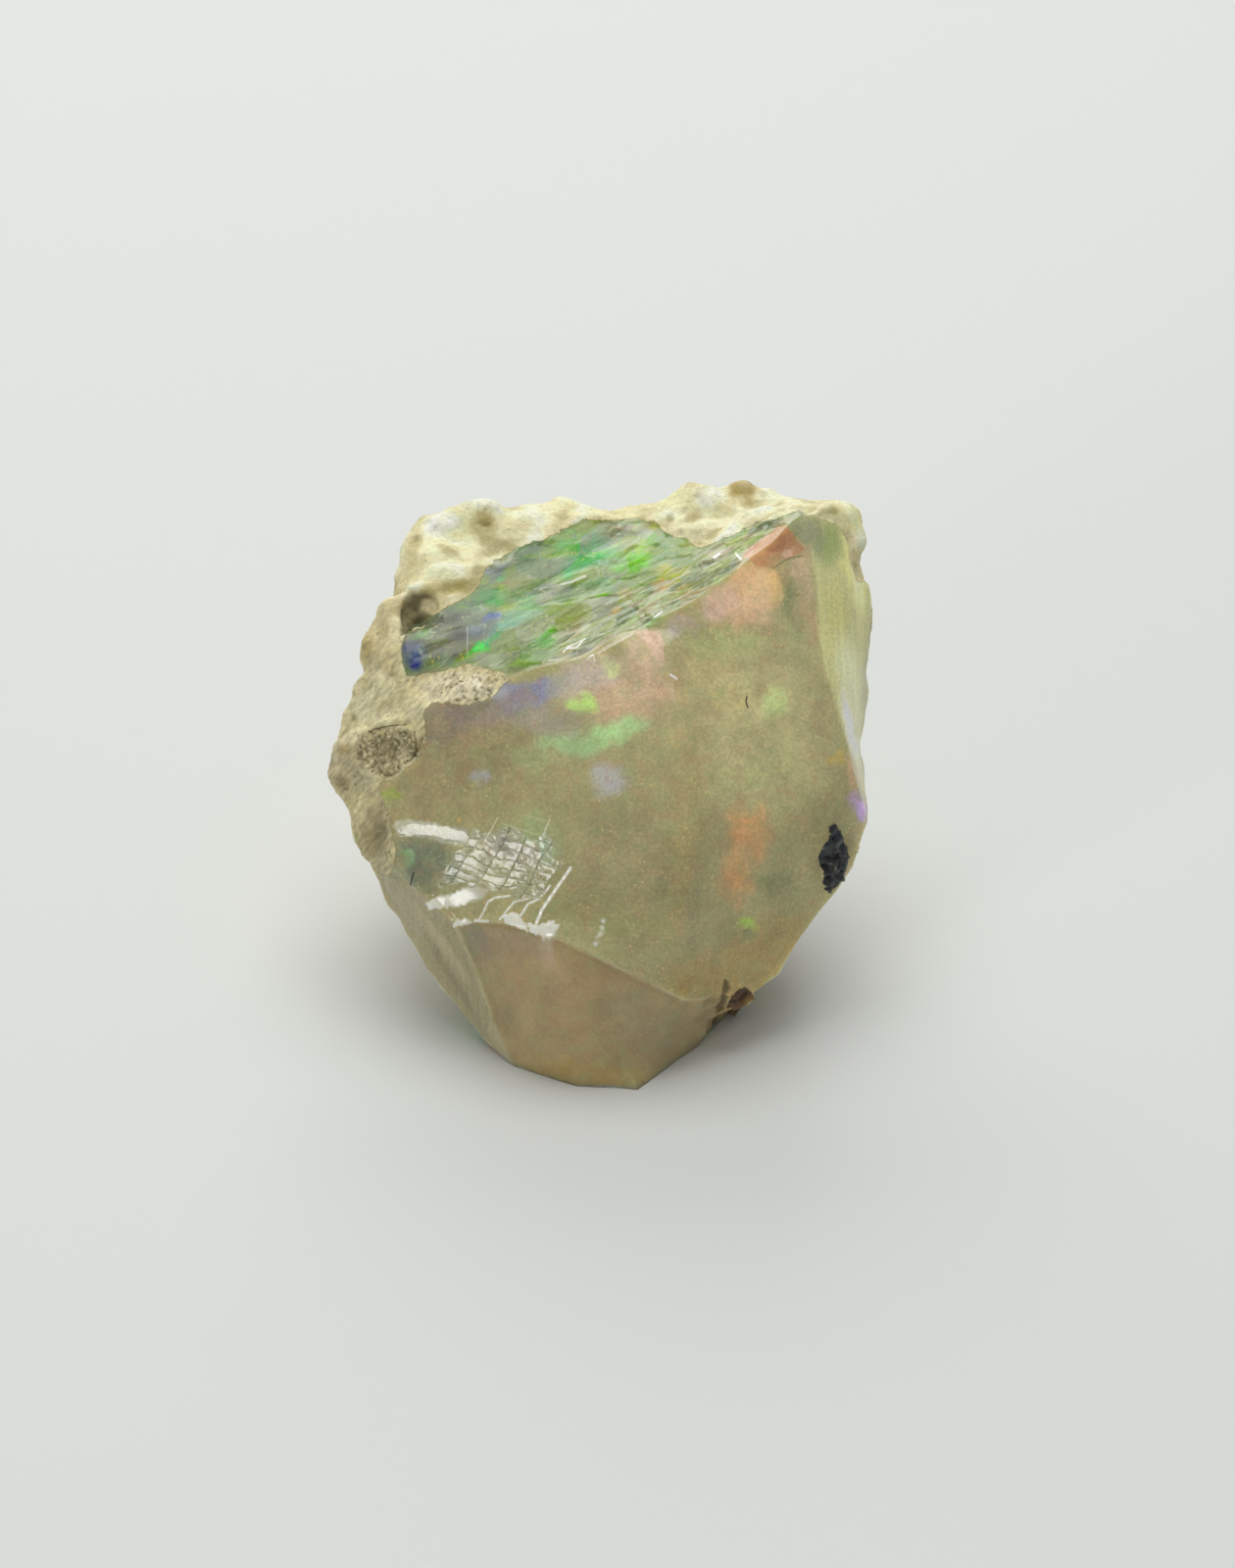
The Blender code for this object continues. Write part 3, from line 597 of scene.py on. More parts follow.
for path, half_width in RIBS.values():
    share = seen * (1 - crazed) * (1 - smooth_step(path_gap(path), 0.7 * half_width, 1.7 * half_width))
    raised += share * lean_to_window(spot_offset(path, RIB_FACET))
    ribs = np.maximum(ribs, share)
gloss = np.maximum(np.maximum(gloss, ribs), crazed)

# The dark grains
# Bits of the volcanic rock caught in the opal's edge: a glossy black one near the tip and a
# brown one in a crevice beside the toe, both broken into small facets.
BLACK_GRAIN = [(846, 842), (854, 841), (858, 850), (864, 864), (865, 879), (861, 894), (854, 904),
               (848, 912), (841, 907), (840, 889), (835, 876), (839, 864), (846, 854)]
BROWN_GRAIN = [(749, 1014), (759, 1006), (767, 1013), (766, 1024), (755, 1032), (747, 1037),
               (741, 1032), (744, 1022)]
CREVICE = [(742, 1003), (736, 1028), (730, 1048), (722, 1062)]
FACET = 0.42

REACH["black grain"] = reach_inside(across, down, BLACK_GRAIN) * seen - 5 * (1 - seen)
REACH["brown grain"] = reach_inside(across, down, BROWN_GRAIN) * seen - 5 * (1 - seen)
is_black = smooth_step(REACH["black grain"], -0.06, 0.10)
is_brown = smooth_step(REACH["brown grain"], -0.06, 0.10)
raised += is_black * (0.04 + facets(FACET, 1.6, is_black)[0])
raised += is_brown * (0.05 + facets(FACET, 1.3, is_brown)[0])
crevice = seen * (1 - smooth_step(path_gap(CREVICE) + 3.0 * hills(0.3, 53, seen), 1.0, 5.0))
raised -= 0.12 * crevice

# The colours of the stone
# The opal is honey to olive, milky at the right side and the flank. Its play of colour comes from
# layers of tiny silica spheres, and shows as soft patches, bright flakes and streaks.
FRONT_BODY = "#9A946D"
HIDDEN_BODY = "#9A9474"
TOP_BODY = "#97A580"
TOE_BODY = "#8B7B59"
RIGHT_BODY = "#AEAC7C"
FLANK_BODY = "#928A6C"
ROCK_BODY = "#C4B98E"

# Patches of the opal as the photograph shows them: the middle in pixels, half the width and the
# height, the turn in degrees, the colour and how strongly it covers what lies under it
OPAL_PATCHES = {
    "brown of the left": (470, 770, 100, 100, 0, "#8E8260", 0.85),
    "grey brown by the knob": (455, 735, 50, 26, -10, "#857B68", 0.7),
    "olive low on the left": (520, 835, 110, 42, 5, "#98926A", 0.6),
    "pale olive of the right": (770, 740, 90, 110, 0, "#B8B085", 0.75),
    "tan under the crest": (640, 705, 60, 44, -10, "#BEA488", 0.85),
    "tan beside it": (715, 690, 40, 50, 0, "#A69A70", 0.6),
    "brown of the middle": (640, 890, 80, 80, 0, "#948A69", 0.7),
    "dull brown of the ridge": (700, 850, 26, 130, 4, "#94865C", 0.55),
    "olive above the scar": (600, 930, 90, 26, 14, "#8E8A5E", 0.6),
    "ochre of the lower right": (775, 975, 75, 44, -35, "#A08A58", 0.8),
    "yellow brown low on the right": (715, 1020, 50, 50, -40, "#9C8452", 0.8),
    "olive beside the right edge": (845, 740, 18, 60, -14, "#A09A74", 0.6),
    "pale tip": (876, 860, 16, 34, 0, "#A0987A", 0.8),
    "brown halo of the black grain": (846, 868, 26, 48, 0, "#857A52", 0.6),
    "violet": (600, 690, 44, 20, -20, "#B0A6A0", 0.7),
    "blue violet": (540, 708, 42, 16, -16, "#84869C", 0.95),
    "deep violet tip": (515, 706, 16, 9, -30, "#777B98", 0.8),
    "mauve": (500, 725, 55, 18, -8, "#8C8078", 0.7),
    "mauve haze": (560, 735, 40, 18, 0, "#9A9290", 0.6),
    "yellow green spot": (595, 716, 14, 13, 0, "#B6DA7C", 0.95),
    "green haze": (628, 745, 44, 16, -12, "#A2C48A", 0.9),
    "green haze on the left": (578, 756, 34, 16, 10, "#98B482", 0.8),
    "faint green": (545, 775, 30, 16, 0, "#96A474", 0.6),
    "lilac": (622, 795, 24, 18, 20, "#A2A2A2", 0.85),
    "small lilac": (492, 793, 12, 9, 0, "#9C9AA0", 0.9),
    "green spot by the knob": (401, 815, 9, 8, 0, "#8AA03E", 0.95),
    "orange dot": (468, 836, 5, 4, 0, "#CDB368", 0.9),
    "green glass": (436, 882, 46, 34, 10, "#6C7460", 0.9),
    "green point in the glass": (416, 875, 9, 8, 0, "#86AA78", 0.8),
    "pink grey of the cells": (522, 866, 36, 18, 19, "#A0968A", 0.8),
    "dark cell": (515, 861, 8, 6, 0, "#6E6858", 0.9),
    "green of the cells": (557, 868, 14, 20, 0, "#9CB08C", 0.8),
    "green over the crazed patch": (540, 845, 34, 14, 0, "#98A878", 0.6),
    "pale flake at the arc": (655, 665, 20, 30, -24, "#C6B49A", 0.7),
    "yellow green under the flake": (624, 680, 14, 9, 0, "#C4CA90", 0.8),
    "mauve at the crest": (692, 638, 18, 12, -20, "#A89E98", 0.7),
    "green under the orange": (740, 655, 44, 20, 0, "#A4AC76", 0.7),
    "olive brown field": (725, 680, 34, 22, -20, "#ACA276", 0.6),
    "green haze of the right": (790, 716, 16, 24, 0, "#B2BE84", 0.85),
    "green low on the right": (765, 790, 50, 16, -20, "#A4A676", 0.6),
    "yellow specks": (742, 715, 26, 14, 0, "#B4AA74", 0.6),
    "orange haze": (765, 850, 26, 34, 0, "#C49A6C", 0.95),
    "orange haze below": (752, 895, 22, 30, -10, "#C0986A", 0.95),
    "rose at the right edge": (868, 790, 9, 26, -14, "#B89C84", 0.8),
    "ochre at the right edge": (854, 772, 7, 10, 0, "#B8A45C", 0.8),
    "lavender": (872, 818, 13, 14, 0, "#B09CB2", 0.95),
    "violet flash": (879, 829, 8, 11, -20, "#BC9CF4", 1.0),
    "dark green specks": (790, 902, 22, 12, -30, "#747A54", 0.7),
    "dark green specks below": (680, 910, 20, 14, 0, "#7C7852", 0.6),
    "green spot low on the right": (760, 943, 10, 10, 0, "#9CB45C", 0.95),
    "teal under it": (763, 957, 9, 7, 0, "#6E7A58", 0.85),
    "orange field": (770, 592, 36, 22, -20, "#D4AC7C", 0.9),
    "salmon field": (755, 622, 44, 22, -8, "#C4A682", 0.85),
    "pink of the field": (732, 616, 22, 18, -30, "#CCB2A8", 0.85),
    "gold of the field": (786, 600, 12, 22, 0, "#CEB27C", 0.7),
    "dark green streak": (804, 612, 9, 40, -16, "#7F8460", 0.85),
    "pale rose by the right face": (820, 588, 11, 34, -8, "#B8A488", 0.85),
    "olive under it": (824, 640, 12, 30, -8, "#A09A74", 0.7),
    "rose beside the edge": (828, 636, 6, 24, -8, "#B09A78", 0.7),
}
TOE_PATCHES = {
    "pink brown of the toe": (515, 962, 50, 20, 12, "#887962", 0.8),
    "purple corner of the toe": (484, 962, 18, 22, 0, "#7A7266", 0.8),
    "warm middle of the toe": (580, 1010, 70, 50, 15, "#8F7C5B", 0.7),
    "grey of the toe": (660, 1040, 60, 34, 25, "#877E62", 0.7),
    "ochre edge of the toe": (600, 1098, 90, 18, 6, "#917C4C", 0.85),
    # Painted shade: the left edge of the toe darkened beside the flank
    "painted shade at the left edge of the toe": (505, 1010, 18, 60, -18, "#7C7152", 0.7),
}
# Flakes of colour: the colour, how strongly it covers, how soft its edge is in mm, and the outline
OPAL_FLAKES = {
    "orange field": ("#D2B090", 0.5, 0.35, [(742, 586), (756, 572), (772, 576), (787, 579), (790, 600), (794, 642),
                                      (776, 640), (748, 634), (722, 622), (714, 610), (728, 596)]),
    "terracotta chip": ("#AE8460", 0.9, 0.05, [(792, 537), (802, 536), (812, 548), (821, 560), (815, 566),
                                          (804, 570), (792, 574), (788, 580), (775, 578), (763, 571),
                                          (756, 566), (769, 555), (781, 546)]),
    "pink corner": ("#BC9488", 0.6, 0.05, [(756, 566), (762, 557), (770, 556), (768, 566), (761, 572)]),
    "pink flake": ("#C4A392", 0.6, 0.05, [(648, 645), (662, 643), (673, 644), (677, 655), (678, 672),
                                     (676, 684), (668, 672), (660, 658), (650, 652)]),
    "green grey peak": ("#8A8E70", 0.8, 0.05, [(806, 525), (818, 520), (828, 530), (832, 546), (822, 558),
                                         (812, 546), (803, 536)]),
}
TOP_PATCHES = {
    "dark olive of the left": (455, 648, 54, 32, -14, "#626753", 0.95),
    "indigo": (421, 669, 14, 15, -10, "#505C88", 0.95),
    "dark back edge": (530, 570, 60, 10, -28, "#788A70", 0.8),
    "dull violet edge": (504, 584, 15, 9, -35, "#80828E", 0.8),
    "green point at the edge": (513, 590, 8, 6, -30, "#8EBA9C", 0.9),
    "tan streak": (522, 598, 24, 8, -35, "#A29C7C", 0.7),
    "dark teal": (468, 624, 32, 12, -20, "#727A6A", 0.85),
    "green of the left end": (433, 647, 14, 8, -20, "#7AA86A", 0.9),
    "teal green": (502, 609, 24, 9, -20, "#8CB888", 0.9),
    "green gold": (516, 604, 12, 5, -20, "#A6BC7C", 0.8),
    "grey blue": (487, 640, 16, 8, -10, "#8698A0", 0.85),
    "blue": (505, 629, 11, 5, -28, "#6A80C0", 0.98),
    "teal streak": (512, 640, 40, 8, -38, "#7EAE98", 0.85),
    "neon green": (487, 662, 15, 5, -24, "#7CE07E", 1.0),
    "green tail": (505, 650, 18, 6, -32, "#7CBC92", 0.9),
    "olive brown under the fold": (452, 670, 24, 10, -10, "#82826A", 0.8),
    "teal of the middle": (540, 620, 26, 12, -28, "#98BC9A", 0.8),
    "olive of the middle": (575, 632, 40, 18, -28, "#94A276", 0.7),
    "green of the middle": (556, 650, 16, 9, -20, "#94BE7A", 0.85),
    "green band along the arm": (540, 672, 50, 8, -6, "#8EA272", 0.7),
    "grey under the ledge": (562, 604, 30, 8, -14, "#A09FA0", 0.7),
    "olive back": (625, 541, 36, 9, 0, "#9AA070", 0.8),
    "orange back": (635, 537, 14, 5, 0, "#BFA888", 0.8),
    "brown back": (668, 540, 14, 8, 0, "#A29C68", 0.8),
    "green of the back": (585, 556, 26, 12, -24, "#86AE82", 0.85),
    "emerald": (612, 562, 26, 15, -10, "#78BC88", 0.95),
    "emerald left": (592, 575, 26, 10, -24, "#84B890", 0.85),
    "bright green": (645, 573, 26, 11, -8, "#90D078", 0.98),
    "bright green above": (660, 556, 16, 7, -20, "#A0C874", 0.9),
    "dark green hollow": (677, 567, 18, 6, -10, "#84A078", 0.9),
    "green under the rim": (697, 553, 14, 8, 0, "#94A266", 0.9),
    "gold": (686, 584, 22, 8, -20, "#C0C070", 0.9),
    "orange": (671, 597, 10, 6, -20, "#D8B878", 0.95),
    "dark green by the ledge": (612, 597, 14, 10, 0, "#8AA682", 0.8),
    "light green line": (612, 613, 20, 4, -14, "#A4CC70", 0.9),
    "orange point": (627, 625, 9, 8, -10, "#D8C08C", 0.9),
    "green point": (653, 630, 11, 7, -20, "#A0CC78", 0.95),
    "pink tan": (641, 609, 12, 7, -20, "#B8B090", 0.8),
    "silver band": (700, 600, 60, 13, -28, "#A4A67A", 0.7),
    "grey of the crest": (598, 664, 30, 6, -22, "#B2AEB0", 0.85),
    "grey of the crest above": (640, 650, 22, 5, -18, "#BCB4A4", 0.8),
    "blue at the crest": (746, 573, 7, 6, -30, "#9A9CB0", 0.9),
    "yellow green upper band": (745, 560, 40, 8, -28, "#B4B482", 0.6),
}
# The milky right face and the flank, as above
PALE_PATCHES = {
    "green shoulder": (846, 555, 14, 28, 0, "#8A9660", 0.9),
    "dark shoulder": (831, 545, 12, 30, -6, "#868A68", 0.95),
    "cream border": (874, 570, 10, 62, -4, "#D8D49A", 0.95),
    "yellow border": (866, 560, 8, 40, -2, "#C6C284", 0.8),
    "olive middle": (855, 625, 14, 44, -4, "#AEAA74", 0.8),
    "pale lower part": (868, 700, 16, 60, -10, "#C2C49E", 0.9),
    "white streak": (868, 745, 6, 50, -12, "#D8D8C2", 0.9),
    "grey edge": (884, 690, 5, 60, 4, "#9E9C80", 0.8),
    "green of the tip side": (882, 800, 10, 40, -10, "#B4B294", 0.6),
    "violet of the tip side": (880, 828, 8, 13, -20, "#B8A0DC", 0.95),
    "tan of the upper flank": (425, 930, 40, 22, 45, "#968F74", 0.7),
    "light line of the flank": (452, 965, 6, 60, -36, "#A89E80", 0.6),
    "dark line of the flank": (462, 1000, 5, 60, -32, "#7E745A", 0.6),
}
RIM_PATCHES = {
    "cream of the left rim": (480, 550, 100, 50, -10, "#E0DBB2", 0.9),
    "cream of the middle rim": (600, 520, 60, 14, 0, "#E0DAAC", 0.9),
    "cream of the right rim": (760, 520, 130, 40, 0, "#E8E3BA", 0.9),
}
# Stains of the rock, with painted light among them: the bright cream spots on the lumps are partly painted
# highlight, the olive and dark spots in the pits, the arch and the lower rock are painted shade, the tan shade by
# the opal is painted shade and the pale green glint is a painted highlight
ROCK_STAINS_AND_PAINTED_LIGHT = {
    "cream and painted highlight by the top": (453, 534, 22, 14, 0, "#F4F0D0", 0.9),
    "cream and painted highlight at the back": (545, 522, 30, 10, -6, "#F0EBC4", 0.9),
    "cream and painted highlight by the opal": (484, 566, 18, 14, -20, "#DED6B0", 0.8),
    "cream over the cavity": (448, 588, 24, 10, 0, "#E2DAB0", 0.9),
    "pale green glint": (487, 512, 18, 6, -10, "#D0D8C0", 0.8),
    "olive painted shade in the pit of the rim": (496, 530, 13, 9, 0, "#A89C62", 0.9),
    "olive painted shade of the arch": (460, 599, 24, 7, -14, "#A09450", 0.9),
    "olive of the outer edge": (420, 560, 10, 40, 14, "#B0A472", 0.8),
    "tan shade by the opal": (500, 562, 24, 7, -30, "#A89C74", 0.8),
    "tan of the band": (392, 640, 22, 60, 14, "#C2B48A", 0.9),
    "brown edge of the band": (372, 650, 9, 30, 0, "#A8965E", 0.8),
    "grey brown of the band": (382, 678, 12, 16, 0, "#98906E", 0.9),
    "cream inner band": (408, 640, 10, 40, 10, "#D2CAA2", 0.7),
    "pale shoulder": (385, 715, 34, 26, -30, "#B8B290", 0.9),
    "knob": (348, 780, 24, 44, 0, "#A99E80", 0.9),
    "brown stain of the knob": (352, 764, 10, 8, 0, "#977F50", 0.8),
    "dark stain of the knob": (347, 798, 8, 9, 0, "#80704E", 0.8),
    "pale rim of the knob": (372, 795, 12, 20, -20, "#ACA384", 0.7),
    "brown inside of the oval pit": (395, 767, 34, 27, -8, "#C0B48E", 0.95),
    "glassy collar of the pit": (429, 760, 8, 20, 8, "#857750", 0.95),
    "pale collar of the pit": (420, 726, 18, 12, 20, "#B6AE8C", 0.8),
    "arm": (468, 701, 50, 20, 0, "#DAD0B2", 0.95),
    "neck of the arm": (446, 702, 14, 16, 0, "#BEB594", 0.8),
    "brown lower rock": (382, 850, 22, 46, 20, "#8A7F60", 0.95),
    "painted shade in the pit of the lower rock": (388, 850, 8, 12, 20, "#70664A", 0.8),
    "pale foot of the lower rock": (388, 888, 16, 16, 30, "#A0987C", 0.9),
    "pale lump of the cavity": (438, 617, 8, 11, 20, "#B8AC88", 0.9),
    "tan lump of the rim": (758, 500, 20, 15, -10, "#9E8C50", 1.0),
    "cream and painted highlight of the right rim": (722, 506, 20, 16, 0, "#F2EDCB", 0.9),
    "green cream of the rim": (690, 510, 22, 14, 0, "#D4D2A2", 0.9),
    "pinkish cream": (745, 528, 40, 12, -10, "#DCD2B2", 0.8),
    "grey cream by the opal": (705, 545, 26, 8, 0, "#BEB892", 0.9),
    "cream right end": (800, 510, 30, 14, 10, "#E6E0BC", 0.8),
    "olive painted shade in the pit of the right rim": (848, 522, 15, 9, 0, "#98905A", 0.9),
    "cream corner": (872, 528, 16, 18, 0, "#DED8A2", 0.9),
}
CAVITY_PAINTED_SHADE = "#696043"
BLACK = "#303236"
BROWN = "#5A4630"


# How much of its own colour each face shows in this light. The colours above are as they are seen,
# so the paint makes up for it.
LIGHT_SHARE = {"front": 0.635, "top": 1.00, "right": 0.58, "flank": 0.66, "toe": 0.55, "rock": 0.72}


def linear(hex_colour):
    """The linear colour of an sRGB hex value."""
    values = [int(hex_colour[i:i + 2], 16) / 255 for i in (1, 3, 5)]
    return np.array([v / 12.92 if v <= 0.04045 else ((v + 0.055) / 1.055) ** 2.4 for v in values])


def cover(colours, share, hex_colour):
    """Lays a colour over others, by its share at each point."""
    colours += share[:, None] * (linear(hex_colour) - colours)


# Patches end in an uneven edge: the places are pushed about by some pixels first
PATCH_WANDER = 9.0
FINE_WANDER = 5.0
wander_x = across + PATCH_WANDER * hills(0.9, 31, seen) + FINE_WANDER * hills(0.35, 33, seen)
wander_y = down + PATCH_WANDER * hills(0.9, 37, seen) + FINE_WANDER * hills(0.35, 39, seen)
mottle = 0.85 + 0.5 * hills(0.5, 41, seen)

opal_colour = np.tile(linear(HIDDEN_BODY), (len(points), 1))
cover(opal_colour, seen, FRONT_BODY)
cover(opal_colour, is_toe, TOE_BODY)


def lay_patches(colours, patches, where, mottle=mottle):
    for *place, hex_colour, strength in patches.values():
        share = 1 - smooth_step(oval_gap(wander_x, wander_y, *place), 0.35, 1.2)
        cover(colours, np.clip(share * mottle, 0, 1) * strength * where, hex_colour)


lay_patches(opal_colour, OPAL_PATCHES, seen * (1 - is_toe))
lay_patches(opal_colour, TOE_PATCHES, is_toe)
cover(opal_colour, is_top, TOP_BODY)
lay_patches(opal_colour, TOP_PATCHES, is_top)
cover(opal_colour, is_right, RIGHT_BODY)
cover(opal_colour, is_flank, FLANK_BODY)
wander_x, wander_y = across + 0.3 * (wander_x - across), down + 0.3 * (wander_y - down)
lay_patches(opal_colour, PALE_PATCHES, np.maximum(is_right, is_flank), 1.0)

for hex_colour, seed in (("#9CC88E", 61), ("#D0A074", 63), ("#9C98B8", 65), ("#8A8460", 67)):
    cover(opal_colour, hidden * 0.7 * smooth_step(hills(1.7, seed, hidden), 0.12, 0.45), hex_colour)

light = np.full(len(points), LIGHT_SHARE["front"])
for name, share in (("top", is_top), ("right", is_right), ("flank", is_flank), ("toe", is_toe)):
    light += share * (LIGHT_SHARE[name] - light)
opal_colour = np.clip(opal_colour / light[:, None], 0.0, 0.95)

rock_colour = np.tile(linear(ROCK_BODY), (len(points), 1))
lay_patches(rock_colour, RIM_PATCHES, seen)
rim = seen * smooth_step(down, 640, 600)
# Painted shade and light on the lumps: olive in the hollows between them, pale cream on their tops, most of all on
# the top rim
cover(rock_colour, (0.25 + 0.4 * rim) * smooth_step(lumps, -0.05, -0.40), "#9A9060")
cover(rock_colour, (0.15 + 0.5 * rim) * smooth_step(lumps, 0.05, 0.40), "#F4EFCF")
lay_patches(rock_colour, ROCK_STAINS_AND_PAINTED_LIGHT, seen)
# Painted shade: the inside of the cavity darkened to brown
cover(rock_colour, 0.9 * cavity, CAVITY_PAINTED_SHADE)
rock_colour = np.clip(rock_colour / LIGHT_SHARE["rock"], 0.0, 0.95)
# How far brown painted shade darkens the pits, the arm's pits and the gaps between the oval pit's crumbs
hollow = np.clip(pitted * 0.6 * pits(PIT_SPACING, PIT_SIZE, 13, pitted) + arm_pits * 1.2, 0, 1)
hollow = np.clip(hollow + 0.45 * oval_pit * smooth_step(crumb_gap, 0.06, 0.01), 0, 1)

# The mesh, with what the material needs to know at each point
points = np.clip(points + out * raised[:, None], low_corner, high_corner)


def build_mesh(name):
    mesh = bpy.data.meshes.new(name)
    mesh.from_pydata((points * MM).tolist(), [], triangles.tolist())
    mesh.polygons.foreach_set("use_smooth", [True] * len(mesh.polygons))
    ends = np.zeros(2 * len(mesh.edges), int)
    mesh.edges.foreach_get("vertices", ends)
    sharp = np.isin(edge_names(ends.reshape(-1, 2)), edge_names(crisp))
    mesh.attributes.new("sharp_edge", "BOOLEAN", "EDGE").data.foreach_set("value", sharp)
    return mesh


def store(mesh, name, values):
    """Keeps a number, or a vector or colour of three, for each point of the mesh."""
    if values.ndim == 1:
        mesh.attributes.new(name, "FLOAT", "POINT").data.foreach_set("value", values)
    elif name.endswith("colour"):
        opaque = np.column_stack([values, np.ones(len(values))])
        mesh.attributes.new(name, "FLOAT_COLOR", "POINT").data.foreach_set("color", opaque.ravel())
    else:
        mesh.attributes.new(name, "FLOAT_VECTOR", "POINT").data.foreach_set("vector", values.ravel())


mesh = build_mesh("rough opal")
store(mesh, "opal colour", opal_colour)
store(mesh, "rock colour", rock_colour)
store(mesh, "coarse rock", np.clip(oval_pit + arm, 0, 1))
store(mesh, "near rock", seen * smooth_step(down, 600, 690))
store(mesh, "rock", REACH["rock"])
store(mesh, "black grain", REACH["black grain"])
store(mesh, "brown grain", REACH["brown grain"])
store(mesh, "crevice", crevice)
store(mesh, "hollow", hollow)
store(mesh, "hackly", hackly)
store(mesh, "top face", is_top)
store(mesh, "milky", np.maximum(is_right, is_flank))
store(mesh, "crazed", crazed)
store(mesh, "glossy", gloss)
store(mesh, "ribs", ribs)
store(mesh, "cells", np.column_stack([cells.T, 0 * down]))
store(mesh, "on the front", seen)
store(mesh, "toe", REACH["toe"])
store(mesh, "flank", REACH["flank"])
for name, (*_, outline) in OPAL_FLAKES.items():
    store(mesh, name, reach_inside(across, down, outline) * seen - 5 * (1 - seen))
front_place = np.column_stack([across - FRAME_MIDDLE_PX[0], FRAME_MIDDLE_PX[1] - down, 0 * down])
store(mesh, "front place", front_place / PX_PER_MM)
stone = bpy.data.objects.new("rough_opal_stone", mesh)
bpy.context.scene.collection.objects.link(stone)

# The stone's material
# Honey-coloured precious opal in its host rock. Light goes a millimetre or two into the opal and
# comes out softened, under a glassy skin; the rock is chalky and dull, the dark grains are glossy.
GOLD_GRAIN = 0.13
SPECK_SPACING = 0.20
ROCK_PIT_SPACING = 0.28
OPAL_IOR = 1.45


def node(tree, kind, inputs=None, **settings):
    """Adds a node with its settings, its values and its links, and gives back its outputs."""
    made = tree.nodes.new("ShaderNode" + kind)
    for name, value in settings.items():
        setattr(made, name, value)
    for name, value in (inputs or {}).items():
        if isinstance(value, bpy.types.NodeSocket):
            tree.links.new(value, made.inputs[name])
        else:
            made.inputs[name].default_value = value
    return made.outputs


def rgba(hex_colour):
    return (*linear(hex_colour), 1.0)


opal_material = bpy.data.materials.new("precious opal in host rock")
opal_material.use_nodes = True
tree = opal_material.node_tree
tree.nodes.clear()
place = node(tree, "TexCoord")["Object"]


def stored(name):
    return node(tree, "Attribute", attribute_name=name)


def hills_node(size, detail=2.0, roughness=0.5, at=None):
    """Noise with hills about so many mm across, from 0 to 1."""
    values = {"Vector": at or place, "Scale": 1 / (size * (MM if at is None else 1.0)),
              "Detail": detail, "Roughness": roughness}
    return node(tree, "TexNoise", values)[0]


def ramp(value, low, high, start=0.0, end=1.0):
    values = {"Value": value, "From Min": low, "From Max": high, "To Min": start, "To Max": end}
    return node(tree, "MapRange", values, interpolation_type="SMOOTHSTEP")[0]


def maths(operation, first, second):
    return node(tree, "Math", {0: first, 1: second}, operation=operation)[0]


def blend_colour(share, under, over):
    return node(tree, "Mix", {0: share, 6: under, 7: over}, data_type="RGBA")[2]


def lit(share, colour, value):
    """A colour made so many times as light, as far as the share says."""
    return node(tree, "HueSaturation", {"Fac": share, "Value": value, "Color": colour})[0]


def blend_value(share, under, over):
    return node(tree, "Mix", {0: share, 2: under, 3: over}, data_type="FLOAT")[0]


# The border of the rock wanders, and its grains bite into the opal
border = maths("ADD", stored("rock")["Fac"], maths("MULTIPLY", hills_node(0.4, 3.0), 0.30))
rock_share = ramp(border, 0.13, 0.17)
black_border = maths("ADD", stored("black grain")["Fac"], maths("MULTIPLY", hills_node(0.25), 0.20))
black_share = ramp(black_border, 0.08, 0.11)
brown_border = maths("ADD", stored("brown grain")["Fac"], maths("MULTIPLY", hills_node(0.25), 0.20))
brown_share = ramp(brown_border, 0.08, 0.12)

# Opal: a fine golden grain all through, hackles like drawn silver threads, and crazing
front = stored("front place")["Vector"]


def threads_node(turn, long_step, short_step, detail=3.0):
    """Noise drawn out along one direction of the front, its steps in mm."""
    turned = node(tree, "Mapping", {"Vector": front, "Rotation": (0, 0, math.radians(turn))})[0]
    sized = node(tree, "Mapping", {"Vector": turned, "Scale": (1 / long_step, 1 / short_step, 1)})[0]
    return node(tree, "TexNoise", {"Vector": sized, "Scale": 1.0, "Detail": detail})[0]


def flakes_node(turn, long_step, short_step, feature="F1"):
    """Cells drawn out along one direction of the front, their sizes in mm."""
    turned = node(tree, "Mapping", {"Vector": front, "Rotation": (0, 0, math.radians(turn))})[0]
    sized = node(tree, "Mapping", {"Vector": turned, "Scale": (1 / long_step, 1 / short_step, 1)})[0]
    push = node(tree, "TexNoise", {"Vector": sized, "Scale": 1.5, "Detail": 2.0})["Color"]
    pushed = node(tree, "Mix", {0: 0.25, 4: sized, 5: push}, data_type="VECTOR")[1]
    return node(tree, "TexVoronoi", {"Vector": pushed, "Scale": 1.0}, feature=feature)


def channels(colour):
    return node(tree, "SeparateColor", {0: colour})


grain = hills_node(GOLD_GRAIN, 2.0, 0.6)
toe = stored("toe")["Fac"]
smooth_toe = ramp(toe, 0.0, 0.1)
opal = stored("opal colour")["Color"]
for name, (hex_colour, strength, softness, _) in OPAL_FLAKES.items():
    edge = maths("ADD", stored(name)["Fac"], maths("MULTIPLY", hills_node(0.5, 3.0), 0.2))
    flake_colour = np.clip(linear(hex_colour) / LIGHT_SHARE["front"], 0, 0.95)
    flake = maths("MULTIPLY", ramp(edge, 0.08, 0.08 + softness), strength)
    opal = blend_colour(flake, opal, (*flake_colour, 1.0))
opal = lit(blend_value(smooth_toe, 1.0, 0.5), opal, ramp(grain, 0.25, 0.75, 0.88, 1.12))
opal = blend_colour(ramp(grain, 0.60, 0.76, 0.0, 0.22), opal, rgba("#E2C88A"))
calm = opal
hue = hills_node(0.7, 3.0, 0.6)
